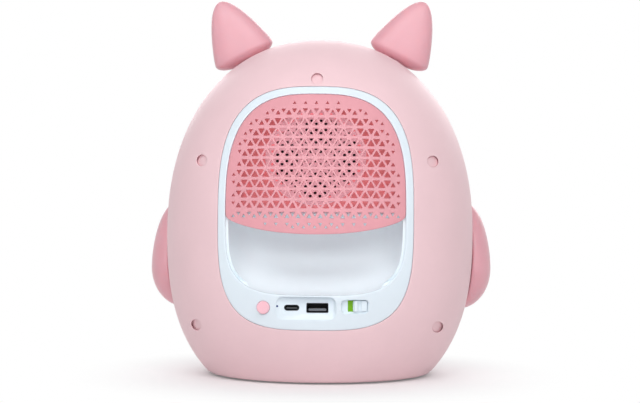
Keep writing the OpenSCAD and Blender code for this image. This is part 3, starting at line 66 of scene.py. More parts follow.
def colour(name, rgb, text):
    """A colour property."""
    return FloatVectorProperty(name=name, default=srgb(*rgb), size=3, min=0, max=1, subtype="COLOR", description=text)


class SpeakerSizes(PropertyGroup):
    """Sizes of the speaker's visible forms."""
    body_w: length("Case width", 202.2, "Width of the egg-shaped case")
    body_d: length("Case depth", 184, "Depth of the case from back to front")
    mid_z: length("Widest level", 93, "Height at which the case is widest")
    rise: length("Rise", 127.7, "Height of the case above its widest level")
    drop: length("Drop", 117, "Reach of the lower half if it were not cut flat")
    wall: length("Wall", 2.8, "Wall of the case halves")
    base: length("Base height", 1, "Height of the flat base above the floor")
    base_edge: length("Base edge", 2, "Radius of the edge around the base")
    seam: length("Seam edge", 0.3, "Width of the softened edges where moulded parts meet")
    fit: length("Fit", 0.12, "Gap around a piece in its opening")
    panel_w: length("Panel width", 121, "Width of the white rear panel")
    panel_z: length("Panel level", 107.6, "Height of the widest level of the rear panel")
    panel_up: length("Panel reach up", 77.8, "Reach of the rear panel above that level")
    panel_down: length("Panel reach down", 72.2, "Reach of the rear panel below that level")
    rim_w: length("Rim width", 4.9, "Width of the rim around the recess")
    panel_t: length("Panel thickness", 5.4, "Thickness of both white panels")
    hold_top: length("Hand hold ceiling", 106.5, "Height of the ceiling of the hand hold")
    hold_low: length("Hand hold floor", 56.9, "Lowest point of the recess")
    hold_depth: length("Hand hold depth", 38, "Depth of the hand hold")
    hold_bend: length("Bowl start", 16, "Depth at which the bowl starts to curve in")
    hold_side: length("Bowl sides", 13, "How far the bowl draws in at its sides")
    hold_climb: length("Bowl climb", 25, "How far the bowl climbs at its bottom")
    grille_t: length("Grille thickness", 2.2, "Thickness of both grilles")
    grille_low: length("Lip height", 94.1, "Lowest point of the free lip of the grille")
    grille_sag: length("Lip sag", 6.2, "How much higher the lip is at its ends")
    hole_pitch: length("Hole pitch", 6.75, "Distance between like triangles in a row")
    guard_pitch: length("Guard hole pitch", 5.9, "Distance of the guard's round holes along a row")
    guard_row: length("Guard hole row", 2.05, "Distance between the rows of the guard's round holes")
    hole_row: length("Row pitch", 6.36, "Distance between the rows of triangles")
    hole_big: length("Largest hole", 4.6, "Side of the largest triangle")
    hole_small: length("Smallest hole", 2.1, "Side of the smallest triangle")
    front_w: length("Front panel width", 116, "Width of the white front panel")
    front_z: length("Front panel level", 112, "Height of the widest level of the front panel")
    front_up: length("Front reach up", 62, "Reach of the front panel above that level")
    front_down: length("Front reach down", 64, "Reach of the front panel below that level")
    disc_d: length("Front grille diameter", 83.2, "Diameter of the front grille")
    disc_z: length("Front grille height", 128, "Height of the middle of the front grille")
    port_z: length("Port height", 49.2, "Height of the middle of the ports")
    small_x: length("Small port middle", -13.8, "Middle of the small port, across", -1)
    large_x: length("Large port middle", 1.9, "Middle of the large port, across", -1)
    pocket_x: length("Port recess middle", -4.9, "Middle of the port recess, across", -1)
    pocket_w: length("Port recess width", 33.6, "Width of the port recess")
    pocket_h: length("Port recess height", 14, "Height of the port recess")
    pocket_in: length("Port recess depth", 7.1, "Depth of the recess floor from the rearmost point")
    key_x: length("Rear button middle", -31.2, "Middle of the rear button, across", -1)
    key_d: length("Rear button diameter", 8, "Diameter of the rear button")
    switch_x: length("Switch middle", 24.7, "Middle of the switch well, across", -1)
    switch_z: length("Switch height", 49.6, "Height of the middle of the switch")
    well_w: length("Switch well width", 16.8, "Width of the switch well")
    well_h: length("Switch well height", 9.3, "Height of the switch well")
    well_in: length("Switch well depth", 2.4, "Depth of the switch well")
    button_d: length("Front button diameter", 11, "Diameter of a front button")
    button_z: length("Front button height", 66, "Height of the row of front buttons")
    button_pitch: length("Front button pitch", 24, "Distance between two front buttons")
    key_proud: length("Button stand", 1, "How far the buttons stand off the case")
    plug_d: length("Plug diameter", 7.2, "Diameter of the plugged screw recesses")
    ear_w: length("Ear width", 42.8, "Width of an ear")
    ear_d: length("Ear depth", 23, "Depth of an ear")
    ear_h: length("Ear height", 42, "Height of an ear")
    flip_z: length("Flipper level", 68.5, "Height of the thickest point of a flipper")
    flip_y: length("Flipper place", 22, "Distance of the flippers towards the front")
    flip_up: length("Flipper reach up", 44.5, "Reach of a flipper above its thickest point")
    flip_down: length("Flipper reach down", 26, "Reach of a flipper below its thickest point")
    flip_d: length("Flipper width", 43, "Width of a flipper from front to back")
    flip_t: length("Flipper thickness", 16.4, "Thickness of a flipper")
    grain: length("Moulded grain", 0.35, "Size of the fine grain of the moulded plastic")
    columns: IntProperty(name="Columns", default=288, min=96, max=480, description="Grid columns around an outline")


class SpeakerColours(PropertyGroup):
    """Colours of the speaker's finishes."""
    shell_pink: colour("Case pink", (240, 206, 211), "Light pink of the case")
    ear_pink: colour("Ear pink", (227, 168, 178), "Pink of the ears and flippers")
    grille_pink: colour("Grille pink", (228, 160, 169), "Pink of the grilles")
    baffle_pink: colour("Baffle pink", (238, 148, 153), "Deep pink behind the grille")
    guard_pink: colour("Guard pink", (238, 194, 204), "Pale pink of the disc over the driver")
    panel_white: colour("Panel white", (229, 240, 248), "Cool white of the panels and the hand hold")
    # The hand hold's white is the panel's white made brighter: painted light for the recess.
    hold_white: colour("Hand hold white", (241, 250, 255), "Bright white of the hand hold")
    button_pink: colour("Button pink", (250, 197, 208), "Pink of the buttons")
    mark_green: colour("Mark green", (112, 172, 8), "Green that shows when the switch is on")
    light_blue: colour("Light blue", (24, 44, 130), "Blue of the status light")


class Measures:
    """The scene's sizes in millimetres."""

    def __getattr__(self, name):
        return getattr(bpy.context.scene.speaker_sizes, name) / MM


S = Measures()
REAR, FRONT = -1, 1  # sides of the case along Y
TOP_POWER, LOW_POWER = 2.18, 2.45  # powers of the case's outline above and below its widest level
PANEL_POWERS, RECESS_POWERS, FRONT_POWERS = (3, 3.62), (3, 3.85), (2.6, 3.1)  # the same for the panels' outlines
PLUG_SPOTS = ((0, 190.6), (-72.6, 139.5), (72.6, 139.5), (-76.5, 35.2), (76.5, 35.2))  # the screw recesses
PLUG_FACE, PLUG_BACK = 1.8, 7  # depths of a plug below the case
FOOT_X, FOOT_Y, FOOT_R = 42, 33, 8  # middles and radius of the feet
EAR_X, EAR_Y, EAR_Z, EAR_LEAN = 50.8, 12, 210.2, math.radians(26)  # where an ear stands, and its lean
EAR_LOW, EAR_ROUND = -3, 7  # start of an ear on its axis, and the height over which its underside rounds out
EAR_NECK, FLIPPER_NECK, FLIPPER_NECK_UP = 7, 6, 19  # radii, and the neck's height above the flipper's thickest point
LIGHT_X, LIGHT_UP = -22.6, 0.9  # the light's place across, and above the middle of the ports
PORT_BACK = 68.4  # distance of the back of the ports from the seam plane
GUARD_Y, GUARD_Z, GUARD_LEAN, GUARD_STAND = -71.5, 140.5, math.radians(18), 4.4  # the disc over the rear driver
SWITCH_YAW = 0.2343  # turn of the switch well with the case, in radians
QUARTER = np.linspace(0, math.pi / 2, 6)  # the angles of every rounded edge


def tone(name):
    """A colour of the scene's property group."""
    return tuple(getattr(bpy.context.scene.speaker_colours, name))


# Forms: each is a function of one or two parameters, worked out on whole arrays

def arch(u, n):
    """Superellipse factor (1 - |u|^n)^(1/n): 1 in the middle, 0 at the rim."""
    return np.maximum(0.0, 1 - np.abs(u) ** n) ** (1 / n)


def power(wave, n):
    """A sine or cosine raised to 2/n with its sign kept, which turns a circle into a superellipse."""
    return np.sign(wave) * np.abs(wave) ** (2 / n)


def egg(z, t=0.0):
    """Share of the full width at a height: arch over the rise above the widest level and over the drop below it."""
    return np.where(z >= S.mid_z, arch((z - S.mid_z) / (S.rise - t), TOP_POWER),
                    arch((S.mid_z - z) / (S.drop - t), LOW_POWER))


def half_w(z, t=0.0):
    """Half width of the case at a height, t inside its surface."""
    return (S.body_w / 2 - t) * egg(z, t)


def half_d(z, t=0.0):
    """Half depth of the case at a height, t inside its surface."""
    return (S.body_d / 2 - t) * egg(z, t)


def face_y(x, z, t=0.0):
    """Distance of the case surface from the seam plane: half depth times the circular arch of x over half width."""
    return half_d(z, t) * arch(x / np.maximum(half_w(z, t), 1e-3), 2)


def superellipse(angle, w, up, down, zc, powers):
    """Outline x = w |cos|^(2/n), z = zc + reach |sin|^(2/n), with its own reach and power n above and below zc."""
    c, s = np.cos(angle), np.sin(angle)
    n = np.where(s >= 0, powers[0], powers[1])
    return np.stack([w * power(c, n), zc + np.where(s >= 0, up, down) * power(s, n)], -1)


def even_angles(outline, count, extra=()):
    """Angles at which a closed outline is cut into stretches of equal length, with some angles added."""
    angle = np.linspace(0, 2 * math.pi, 40001)
    steps = np.linalg.norm(np.diff(outline(angle), axis=0), axis=1)
    along = np.concatenate([[0], np.cumsum(steps)])
    even = np.interp(np.linspace(0, along[-1], count, endpoint=False), along, angle)
    return np.sort(np.concatenate([even, extra]))


def offset(points, grow):
    """A closed outline moved outwards along its normals."""
    ahead = np.roll(points, -1, 0) - np.roll(points, 1, 0)
    out = np.stack([ahead[:, 1], -ahead[:, 0]], -1)
    return points + grow * out / np.linalg.norm(out, axis=1, keepdims=True)


def rear_panel_line(angle, grow=0.0):
    """Outline of the rear panel."""
    return superellipse(angle, S.panel_w / 2 + grow, S.panel_up + grow, S.panel_down + grow, S.panel_z, PANEL_POWERS)


def recess_line(angle):
    """Outline of the recess inside the rim of the rear panel."""
    return superellipse(angle, S.panel_w / 2 - S.rim_w, S.panel_up - S.rim_w, S.panel_z - S.hold_low, S.panel_z,
                        RECESS_POWERS)


def front_panel_line(angle, grow=0.0):
    """Outline of the front panel."""
    return superellipse(angle, S.front_w / 2 + grow, S.front_up + grow, S.front_down + grow, S.front_z, FRONT_POWERS)


def circle(x, z, r, count=64):
    """Round outline."""
    a = np.linspace(0, 2 * math.pi, count, endpoint=False)
    return np.stack([x + r * np.cos(a), z + r * np.sin(a)], -1)


def round_rect(x, z, w, h, r, steps=8):
    """Rectangle with quarter circles at its corners."""
    a = np.linspace(0, math.pi / 2, steps)
    corners = [np.stack([x + sx * (w / 2 - r) + r * np.cos(a + q), z + sz * (h / 2 - r) + r * np.sin(a + q)], -1)
               for q, sx, sz in ((0, 1, 1), (math.pi / 2, -1, 1), (math.pi, -1, -1), (1.5 * math.pi, 1, -1))]
    return fill_in(np.concatenate(corners), max(w, h) / 14)


def fill_in(points, step):
    """A closed outline with its long stretches cut into shorter ones."""
    ahead = np.roll(points, -1, 0) - points
    counts = np.maximum(1, np.ceil(np.linalg.norm(ahead, axis=1) / step).astype(int))
    which = np.repeat(np.arange(len(points)), counts)
    share = np.arange(len(which)) - np.repeat(np.cumsum(counts) - counts, counts)
    return points[which] + ahead[which] * (share / counts[which])[:, None]


def rim(r, face=0.0):
    """Profile of an edge rounded by a quarter circle of radius r, from the depth face + r up to the face."""
    return [(-r * (1 - math.sin(b)), face + r * (1 - math.cos(b))) for b in QUARTER[::-1]]


def plate(edge, thick):
    """Profile of a plate from its back to its face, which has a rounded edge."""
    return [(0, thick)] + [(-edge * (1 - math.cos(b)), edge * (1 - math.sin(b))) for b in QUARTER]


# Places: they carry an outline point x, z and a depth t to a point in space

def on_case(side, sunk=0.0):
    """Follows the case at the depth sunk + t below its surface, at the REAR or the FRONT."""
    return lambda x, z, t: np.stack([x, side * face_y(x, z, t + sunk), z], -1)


def flat(side, y):
    """Stays parallel to the seam plane, at the depth t below the distance y from it."""
    return lambda x, z, t: np.stack([x, side * (y - t) + 0 * x, z], -1)


def standing(x, y, t):
    """Flat on the floor, with the depth running down from it."""
    return np.stack([x, y, -t + 0 * x], -1)


def at_switch(x, z, t):
    """Turned with the case at the switch: the origin on the surface, x across, z up, t inwards."""
    c, s = math.cos(SWITCH_YAW), math.sin(SWITCH_YAW)
    y0 = -float(face_y(np.array(S.switch_x), np.array(S.switch_z)))
    return np.stack([S.switch_x + x * c - t * s, y0 + x * s + t * c, S.switch_z + z + 0 * x], -1)


def at_guard(x, z, t):
    """Leaning back with the rear driver, and standing off the middle of its mount."""
    deep, c, s = t - GUARD_STAND, math.cos(GUARD_LEAN), math.sin(GUARD_LEAN)
    return np.stack([x, GUARD_Y + deep * c + z * s, GUARD_Z - deep * s + z * c], -1)


def ear_place(side):
    """Frame of an ear: x across it, y through it, t down its axis from the middle of its underside."""
    c, s = math.cos(EAR_LEAN), math.sin(EAR_LEAN)
    return lambda x, y, t: np.stack([side * (EAR_X + x * c - t * s), EAR_Y + y, EAR_Z - x * s - t * c], -1)


def flipper_turn():
    """Direction of the middle of a flipper around the case, and the half angle that it spans."""
    turn = math.asin(S.flip_y / (S.body_d / 2))
    return turn, math.asin((S.flip_y + S.flip_d / 2) / (S.body_d / 2)) - turn


def flipper_place(side):
    """Frame of a flipper's neck: t runs inwards along X from the case's side."""
    level = S.flip_z + FLIPPER_NECK_UP
    root = float(half_w(np.array(level))) * math.cos(flipper_turn()[0])
    return lambda y, z, t: np.stack([side * (root - t) + 0 * y, S.flip_y + y, level + z], -1)


# Meshes

class Shape:
    """Grids of points in millimetres, welded into one mesh in metres."""

    def __init__(self):
        self.points, self.faces, self.count = [], [], 0

    def grid(self, p, around=True, over=False):
        """Adds a grid (rows, columns, 3). around joins its last column to the first, over its last row to the first.
        """
        rows, cols = p.shape[:2]
        i, j = np.meshgrid(np.arange(rows - (not over)), np.arange(cols - (not around)), indexing="ij")
        near, far = i * cols, ((i + 1) % rows) * cols
        right = (j + 1) % cols
        quads = np.stack([near + j, near + right, far + right, far + j], -1).reshape(-1, 4)
        self.faces.append(quads + self.count)
        self.points.append(p.reshape(-1, 3))
        self.count += rows * cols
        return self

    def sweep(self, outline, profile, place, dome=0.0, rows=6):
        """Carries a profile of (grow, depth) pairs around an outline. The last row is closed by rows that shrink to
        the middle and rise by dome times (1 - share^2), the first row by rows that shrink flat."""
        rings = [place(*offset(outline, g).T, t) for g, t in profile]
        share = np.linspace(1, 0, rows + 1)[1:, None, None]
        for end, height in ((0, 0.0), (-1, dome)):
            ring = offset(outline, profile[end][0])
            shrunk = ring.mean(0) + (ring - ring.mean(0)) * share
            rise = height * (1 - share[..., 0] ** 2) + 0 * shrunk[..., 0]
            lid = list(place(shrunk[..., 0], shrunk[..., 1], profile[end][1] - rise))
            rings = rings + lid if end else lid[::-1] + rings
        return self.grid(np.stack(rings))

    def mesh(self, name, sharp=38, closed=True):
        """The welded mesh with its soft edges smooth. A closed one has its gaps filled and its faces turned out."""
        bm = bmesh.new()
        raw = bpy.data.meshes.new(name)
        raw.from_pydata((np.concatenate(self.points) * MM).tolist(), [], np.concatenate(self.faces).tolist())
        bm.from_mesh(raw)
        bmesh.ops.remove_doubles(bm, verts=bm.verts, dist=2e-6)
        bmesh.ops.dissolve_degenerate(bm, edges=bm.edges, dist=1e-7)
        if closed:
            bmesh.ops.holes_fill(bm, edges=[e for e in bm.edges if e.is_boundary], sides=0)
            bmesh.ops.recalc_face_normals(bm, faces=bm.faces)
        bm.to_mesh(raw)
        bm.free()
        smooth(raw, sharp)
        return raw


def smooth(mesh, sharp=38):
    """Smooth shading with edges sharper than an angle kept."""
    mesh.shade_smooth()
    mesh.set_sharp_from_angle(angle=math.radians(sharp))


def add_object(name, mesh):
    """A new object at the origin."""
    obj = bpy.data.objects.new(name, mesh)
    bpy.context.scene.collection.objects.link(obj)
    return obj


def settle(obj, cutters, bevel):
    """Bevels the sharp edges, cuts the closed cutters out and keeps the result as the piece's mesh."""
    if bevel:
        soft = obj.modifiers.new("soft edges", "BEVEL")
        soft.width, soft.segments, soft.limit_method = bevel * MM, 2, "ANGLE"
        soft.angle_limit, soft.use_clamp_overlap = math.radians(50), False
    tools = [add_object("cutter", c.mesh("cutter")) for c in cutters]
    for tool in tools:
        cut = obj.modifiers.new("cut", "BOOLEAN")
        cut.operation, cut.solver, cut.object = "DIFFERENCE", "MANIFOLD", tool
    mesh = bpy.data.meshes.new_from_object(obj.evaluated_get(bpy.context.evaluated_depsgraph_get()))
    if tools and len(mesh.polygons) in (0, len(obj.data.polygons)):
        raise RuntimeError(f"{obj.name} could not be cut")
    obj.modifiers.clear()
    obj.data = mesh
    for tool in tools:
        bpy.data.objects.remove(tool)
    smooth(mesh)


def make_piece(name, shape, material, slot, *nodes, body="case", cutters=(), bevel=0.0, wall=0.0, sharp=38):
    """Makes a piece of a shape, cut, bevelled or given a wall, and says which body it rides on
    and which frame nodes it stands for. The argument slot is not used."""
    obj = add_object(name, shape.mesh(name, sharp, closed=not wall))
    if wall:
        shell = obj.modifiers.new("wall", "SOLIDIFY")
        shell.thickness, shell.offset = wall * MM, 1.0
    if cutters or bevel or wall:
        settle(obj, cutters, bevel)
    obj.data.materials.clear()
    obj.data.materials.append(material)
    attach(obj, body)
    if nodes:
        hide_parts(*nodes)


def bore(outline, place, edge, stop):
    """A closed cutter for a sunken place: flared by edge at the surface, then straight down to the depth stop."""
    profile = [(edge + 0.05, -4), (edge + 0.05, -0.03)]
    profile += [(edge * (1 - math.sin(b)), edge * (1 - math.cos(b))) for b in QUARTER[1:]]
    return Shape().sweep(outline, profile + [(0, stop)], place)


# Finishes: procedural materials on Object coordinates

class Val:
    """A shader value. Arithmetic on it adds Math nodes to its material."""

    def __init__(self, nodes, socket):
        self.nodes, self.socket = nodes, socket

    def math(self, operation, other, flipped=False):
        """Adds a Math node with this value and another, which comes first where they are flipped."""
        inputs = {0: other, 1: self} if flipped else {0: self, 1: other}
        return self.nodes.node("ShaderNodeMath", {"operation": operation}, inputs)

    def __add__(self, other):
        return self.math("ADD", other)

    def __sub__(self, other):
        return self.math("SUBTRACT", other)

    def __rsub__(self, other):
        return self.math("SUBTRACT", other, flipped=True)

    def __mul__(self, other):
        return self.math("MULTIPLY", other)

    __radd__, __rmul__ = __add__, __mul__

    def ramp(self, low, high):
        """0 below low, 1 above high, smooth between."""
        return self.nodes.node("ShaderNodeMapRange", {"interpolation_type": "SMOOTHSTEP"},
                               {"Value": self, "From Min": low, "From Max": high})


class Nodes:
    """The nodes of a material or a world."""

    def __init__(self, tree):
        self.tree = tree

    def fill(self, socket, value):
        """Links a value to a socket, or sets the socket."""
        if isinstance(value, Val):
            self.tree.links.new(value.socket, socket)
        elif isinstance(value, tuple) and len(value) == 3 and socket.type == "RGBA":
            socket.default_value = value + (1.0,)
        else:
            socket.default_value = value

    def node(self, kind, settings=None, inputs=None, output=0):
        """Adds a node: its settings first, then its sockets, given by name or number."""
        made = self.tree.nodes.new(kind)
        for key, value in (settings or {}).items():
            setattr(made, key, value)
        for key, value in (inputs or {}).items():
            self.fill(made.inputs[key], value)
        return Val(self, made.outputs[output]) if made.outputs else None

    def mix(self, share, first, second):
        """A colour between two others."""
        return self.node("ShaderNodeMix", {"data_type": "RGBA"}, {0: share, 6: first, 7: second}, 2)

    def seen(self):
        """1 where the camera looks, straight or through gloss or a clear part, and 0 for the light that falls."""
        rays = [self.node("ShaderNodeLightPath", output=f"Is {ray} Ray")
                for ray in ("Camera", "Glossy", "Transmission")]
        return rays[0].math("MAXIMUM", rays[1]).math("MAXIMUM", rays[2])


class Finish(Nodes):
    """One material and the nodes added to it. Fixed values are given by the names of the shader's sockets."""

    def __init__(self, name, metallic, roughness, **fixed):
        self.material = bpy.data.materials.new(name)
        self.material.use_nodes = True
        super().__init__(self.material.node_tree)
        self.shader = self.tree.nodes["Principled BSDF"]
        for socket, value in {"Metallic": metallic, "Roughness": roughness, **fixed}.items():
            self.put(socket.replace("_", " "), value)

    def put(self, socket, value):
        """Sets or links a socket of the material's shader."""
        self.fill(self.shader.inputs[socket], value)

    def place(self):
        """Object coordinates."""
        return self.node("ShaderNodeTexCoord", output="Object")

    def noise(self, scale, detail=2.0, rough=0.5, stretch=None):
        """Noise from 0 to 1 with features of 1/scale metres."""
        at = self.place()
        if stretch:
            at = self.node("ShaderNodeMapping", {}, {"Vector": at, "Scale": stretch})
        return self.node("ShaderNodeTexNoise", {},
                         {"Vector": at, "Scale": scale, "Detail": detail, "Roughness": rough})

    def cells(self, scale, **settings):
        """Distances in a pattern of cells, 1/scale metres wide."""
        return self.node("ShaderNodeTexVoronoi", settings, {"Vector": self.place(), "Scale": scale})

    def bump(self, height, strength, distance):
        """Raises the surface by a height field; distance is in metres."""
        self.put("Normal", self.node("ShaderNodeBump", {}, {"Strength": strength, "Distance": distance,
                                                             "Height": height}))


def shade(rgb, share):
    """A colour made lighter or darker."""
    return tuple(min(1.0, c * share) for c in rgb)


@cache
def moulded(name, rgb, roughness=0.45, grain=0.35, depth=0.5, cloud=0.03, glow=0.0, gloss=0.35, **fixed):
    """Moulded plastic: a fine spark-eroded grain, faint clouding of the colour and slightly uneven gloss. glow is
    painted light: the plastic emits its own colour so that a part in shade behind a grille looks lit."""
    f = Finish(name, 0.0, roughness, Specular_IOR_Level=gloss, Emission_Strength=glow, **fixed)
    cloudy = f.noise(26, 3, 0.6).ramp(0.3, 0.7)
    fine = f.noise(1000 / grain, 2, 0.6)
    speck = f.noise(260, 2, 0.5).ramp(0.35, 0.75)
    warm = f.mix(cloudy, shade(rgb, 1 - cloud), shade(rgb, 1 + cloud * 0.6))
    paint = f.mix(speck * 0.25, warm, shade(rgb, 1 - 1.4 * cloud))
    f.put("Base Color", paint)
    # Painted light: the emission makes the part look lit where it lies in shade.
    if glow:
        f.put("Emission Color", paint)
    f.put("Roughness", roughness + (cloudy - 0.5) * 0.06 + (fine - 0.5) * 0.08)
    f.bump(fine + speck * 0.4, depth, 0.00004)
    return f.material


@cache
def metal(name, rgb, roughness=0.3, lines=(1.0, 1.0, 1.0)):
    """Metal with fine brushing or casting marks, stretched by lines, and a faint tarnish."""
    f = Finish(name, 1.0, roughness)
    streak = f.noise(900, 3, 0.6, lines)
    dull = f.noise(60, 3, 0.6).ramp(0.4, 0.8)
    f.put("Base Color", f.mix(dull * 0.4, rgb, shade(rgb, 0.72)))
    f.put("Roughness", roughness + dull * 0.12 + (streak - 0.5) * 0.12)
    f.bump(streak, 0.25, 0.00003)
    return f.material


@cache
def board(name):
    """Circuit board: green lacquer over faint copper traces, with bright pads."""
    f = Finish(name, 0.0, 0.35, Coat_Weight=0.2)
    trace = 1 - f.cells(420.0, feature="DISTANCE_TO_EDGE").ramp(0.02, 0.09)
    pads = 1 - f.cells(260.0).ramp(0.12, 0.17)
    lacquer = f.mix(trace, srgb(18, 92, 58), srgb(38, 122, 76))
    f.put("Base Color", f.mix(pads, lacquer, srgb(206, 190, 132)))
    f.put("Metallic", pads * 0.8)
    f.bump(trace * 0.5 + pads, 0.4, 0.00004)
    return f.material


@cache
def pleated(name, rgb, rings, roughness=0.8):
    """Pressed cloth or paper: fine threads both ways and concentric flutes."""
    f = Finish(name, 0.0, roughness)
    thread = f.noise(2600, 1, 0.5, (1.0, 0.15, 1.0)) * 0.5 + f.noise(2600, 1, 0.5, (0.15, 1.0, 1.0)) * 0.5
    flute = f.noise(rings, 2, 0.5)
    f.put("Base Color", f.mix(thread, shade(rgb, 0.75), shade(rgb, 1.15)))
    f.put("Roughness", roughness + (flute - 0.5) * 0.15)
    f.bump(thread + flute * 0.5, 0.5, 0.00006)
    return f.material


@cache
def glowing(name, rgb, glow):
    """Clear tinted plastic with a light behind it."""
    f = Finish(name, 0.0, 0.2, Emission_Strength=glow)
    soft = f.noise(1500, 2, 0.5)
    f.put("Base Color", f.mix(soft, shade(rgb, 0.8), rgb))
    f.put("Emission Color", f.mix(soft, rgb, shade(rgb, 0.85)))
    return f.material


def case_finish():
    """Finish of the two case halves."""
    return moulded("case pink", tone("shell_pink"), 0.48, S.grain, 0.5, 0.02)


def limb_finish():
    """Finish of the ears and flippers: a softer, deeper pink that lets a little light through."""
    return moulded("limb pink", tone("ear_pink"), 0.36, S.grain, 0.4, 0.02, gloss=0.55, Subsurface_Weight=0.25,
                   Subsurface_Scale=0.004, Subsurface_Radius=(1.0, 0.4, 0.35))


def white_finish():
    """Finish of the white panels, the switch's knob and the marks of the buttons."""
    return moulded("panel white", tone("panel_white"), 0.34, S.grain * 0.8, 0.3, 0.012, Coat_Weight=0.15)


def hold_finish():
    """Finish of the hand hold: the panel's white made brighter, painted light that stands in for how the hold is lit.
    """
    return moulded("hold white", tone("hold_white"), 0.4, S.grain * 0.8, 0.3, 0.008)


def grille_finish():
    """Finish of both grilles."""
    return moulded("grille pink", tone("grille_pink"), 0.45, S.grain, 0.4, 0.02)


def button_finish():
    """Finish of the buttons."""
    return moulded("button pink", tone("button_pink"), 0.36, S.grain, 0.3, 0.02, Subsurface_Weight=0.2,
                   Subsurface_Scale=0.002, Subsurface_Radius=(1.0, 0.4, 0.4))


# Case

def over_case(points, t, level, rows):
    """Grid over the case, t inside its surface, from an opening to the seam plane or the level. In the plane
    X = x / half width, Z = (z - widest level) / reach a column keeps its direction, and its radius is the case's
    radius times the sine of an evenly stepped angle, so that the rows lie evenly on the case."""
    w, d = S.body_w / 2 - t, S.body_d / 2 - t
    above, below = S.rise - t, S.drop - t
    high = points[:, 1] - S.mid_z
    across, up = points[:, 0] / w, high / np.where(high >= 0, above, below)
    turn = np.arctan2(up, across)
    n = np.where(up >= 0, TOP_POWER, LOW_POWER)
    border = (np.abs(np.cos(turn)) ** n + np.abs(np.sin(turn)) ** n) ** (-1 / n)
    base = (level - S.mid_z) / below / np.minimum(np.sin(turn), -1e-3)
    stop = np.where(base < border * 0.99999, base, border)
    first, last = (np.arcsin(np.minimum(1, r / border)) for r in (np.hypot(across, up), stop))
    r = border * np.sin(first + (last - first) * np.linspace(0, 1, rows)[:, None])
    x, z = r * np.cos(turn), r * np.sin(turn)
    deep = np.sqrt(np.maximum(0, np.maximum(0, 1 - np.abs(z) ** n) ** (2 / n) - x ** 2))
    deep[-1] *= stop < border
    return np.stack([x * w, deep * d, S.mid_z + z * np.where(z >= 0, above, below)], -1)


def case_half(side, line):
    """Closed half of the case around a panel opening: outer surface, rounded base edge, flat base, seam face and
    inner surface, which is the outer one a wall further in."""
    low = S.base + S.base_edge
    corner = math.atan2((low - S.mid_z) / S.drop, float(egg(np.array(low))))
    dense = np.linspace(math.pi, 2 * math.pi, 20001)
    x, z = line(dense).T
    seen = np.unwrap(np.arctan2((z - S.mid_z) / np.where(z > S.mid_z, S.rise, S.drop), x / (S.body_w / 2)))
    corners = np.interp([math.pi - corner, 2 * math.pi + corner], seen, dense)
    angle = even_angles(line, bpy.context.scene.speaker_sizes.columns, corners)
    points = line(angle)
    on_base = np.flatnonzero((angle > corners[0] - 1e-9) & (angle < corners[1] + 1e-9))
    on_seam = np.concatenate([np.arange(on_base[-1], len(angle)), np.arange(on_base[0] + 1)])
    outer, inner = over_case(points, 0, low, 56), over_case(points, S.wall, S.base + S.wall + 0.2, 12)
    share = np.array([0.34, 0.67, 1.0])[:, None, None]

    def along_base(ring):
        return np.concatenate([ring[None], ring * (1 - share * [0, 1, 0])])

    foot = outer[-1, on_base]
    cos, sin = foot[:, 0] / half_w(np.array(low)), foot[:, 1] / half_d(np.array(low))
    inset, level = S.base_edge * (1 - np.cos(QUARTER))[:, None], low - S.base_edge * np.sin(QUARTER)[:, None]
    edge = np.stack([half_w(level, inset) * cos, half_d(level, inset) * sin, level + 0 * cos], -1)
    under, floor = along_base(edge[-1]), along_base(inner[-1, on_base])
    shape = Shape()
    for grid, around in ((outer, True), (inner, True), (np.stack([outer[0], inner[0]]), True), (edge, False),
                         (under, False), (floor, False), (np.stack([under[-1], floor[-1]]), False),
                         (np.stack([outer[-1, on_seam], inner[-1, on_seam]]), False)):
        shape.grid(grid * [1, side, 1], around)
    return shape


def foot_cutters(side):
    """Closed cutters for the sockets of the two feet under one half."""
    return [Shape().sweep(circle(x, side * FOOT_Y, FOOT_R + 0.15, 48), [(0, 3), (0, -2)], standing)
            for x in (-FOOT_X, FOOT_X)]


def neck_cutters():
    """Closed cutters for the round holes that take the necks of the ears and flippers."""
    return [Shape().sweep(circle(0, 0, r, 40), [(0, -4), (0, 13)], place(side)) for place, r in
            ((ear_place, EAR_NECK + 1.3), (flipper_place, FLIPPER_NECK + 0.3)) for side in (-1, 1)]


class SPEAKER_OT_case(Operator):
    """Builds both halves of the case and the plugs of the screw recesses."""
    bl_idname = "speaker.case"
    bl_label = "Case"

    def execute(self, context):
        holes = [bore(circle(x, z, S.plug_d / 2), on_case(REAR), S.seam, PLUG_BACK) for x, z in PLUG_SPOTS]
        for name, node, side, line, cutters in (
                ("case_back", "rear_shell", REAR, rear_panel_line, holes + foot_cutters(REAR)),
                ("case_front", "front_shell", FRONT, front_panel_line, foot_cutters(FRONT) + neck_cutters())):
            half = case_half(side, lambda angle: line(angle, S.fit))
            make_piece(name, half, case_finish(), "shell_pink", node, cutters=cutters, bevel=S.seam)
        plugs = Shape()
        for x, z in PLUG_SPOTS:
            plugs.sweep(circle(x, z, S.plug_d / 2 - 0.05), [(0, PLUG_BACK)] + rim(0.3, PLUG_FACE), on_case(REAR))
        make_piece("plugs", plugs, case_finish(), "shell_pink", "screw_plugs")
        return {"FINISHED"}


class SPEAKER_OT_feet(Operator):
    """Builds the four rubber feet, each a low disc with a rounded rim."""
    bl_idname = "speaker.feet"
    bl_label = "Feet"

    def execute(self, context):
        feet, profile = Shape(), [(0, -2)] + [(g, -t) for g, t in rim(0.5)]
        for x in (-FOOT_X, FOOT_X):
            for y in (-FOOT_Y, FOOT_Y):
                feet.sweep(circle(x, y, FOOT_R, 64), profile, standing)
        rubber = moulded("foot rubber", srgb(60, 58, 60), 0.75, 0.25, 0.8, 0.06)
        make_piece("feet", feet, rubber, "foot_rubber", "rubber_feet")
        return {"FINISHED"}


# Panels and hand hold

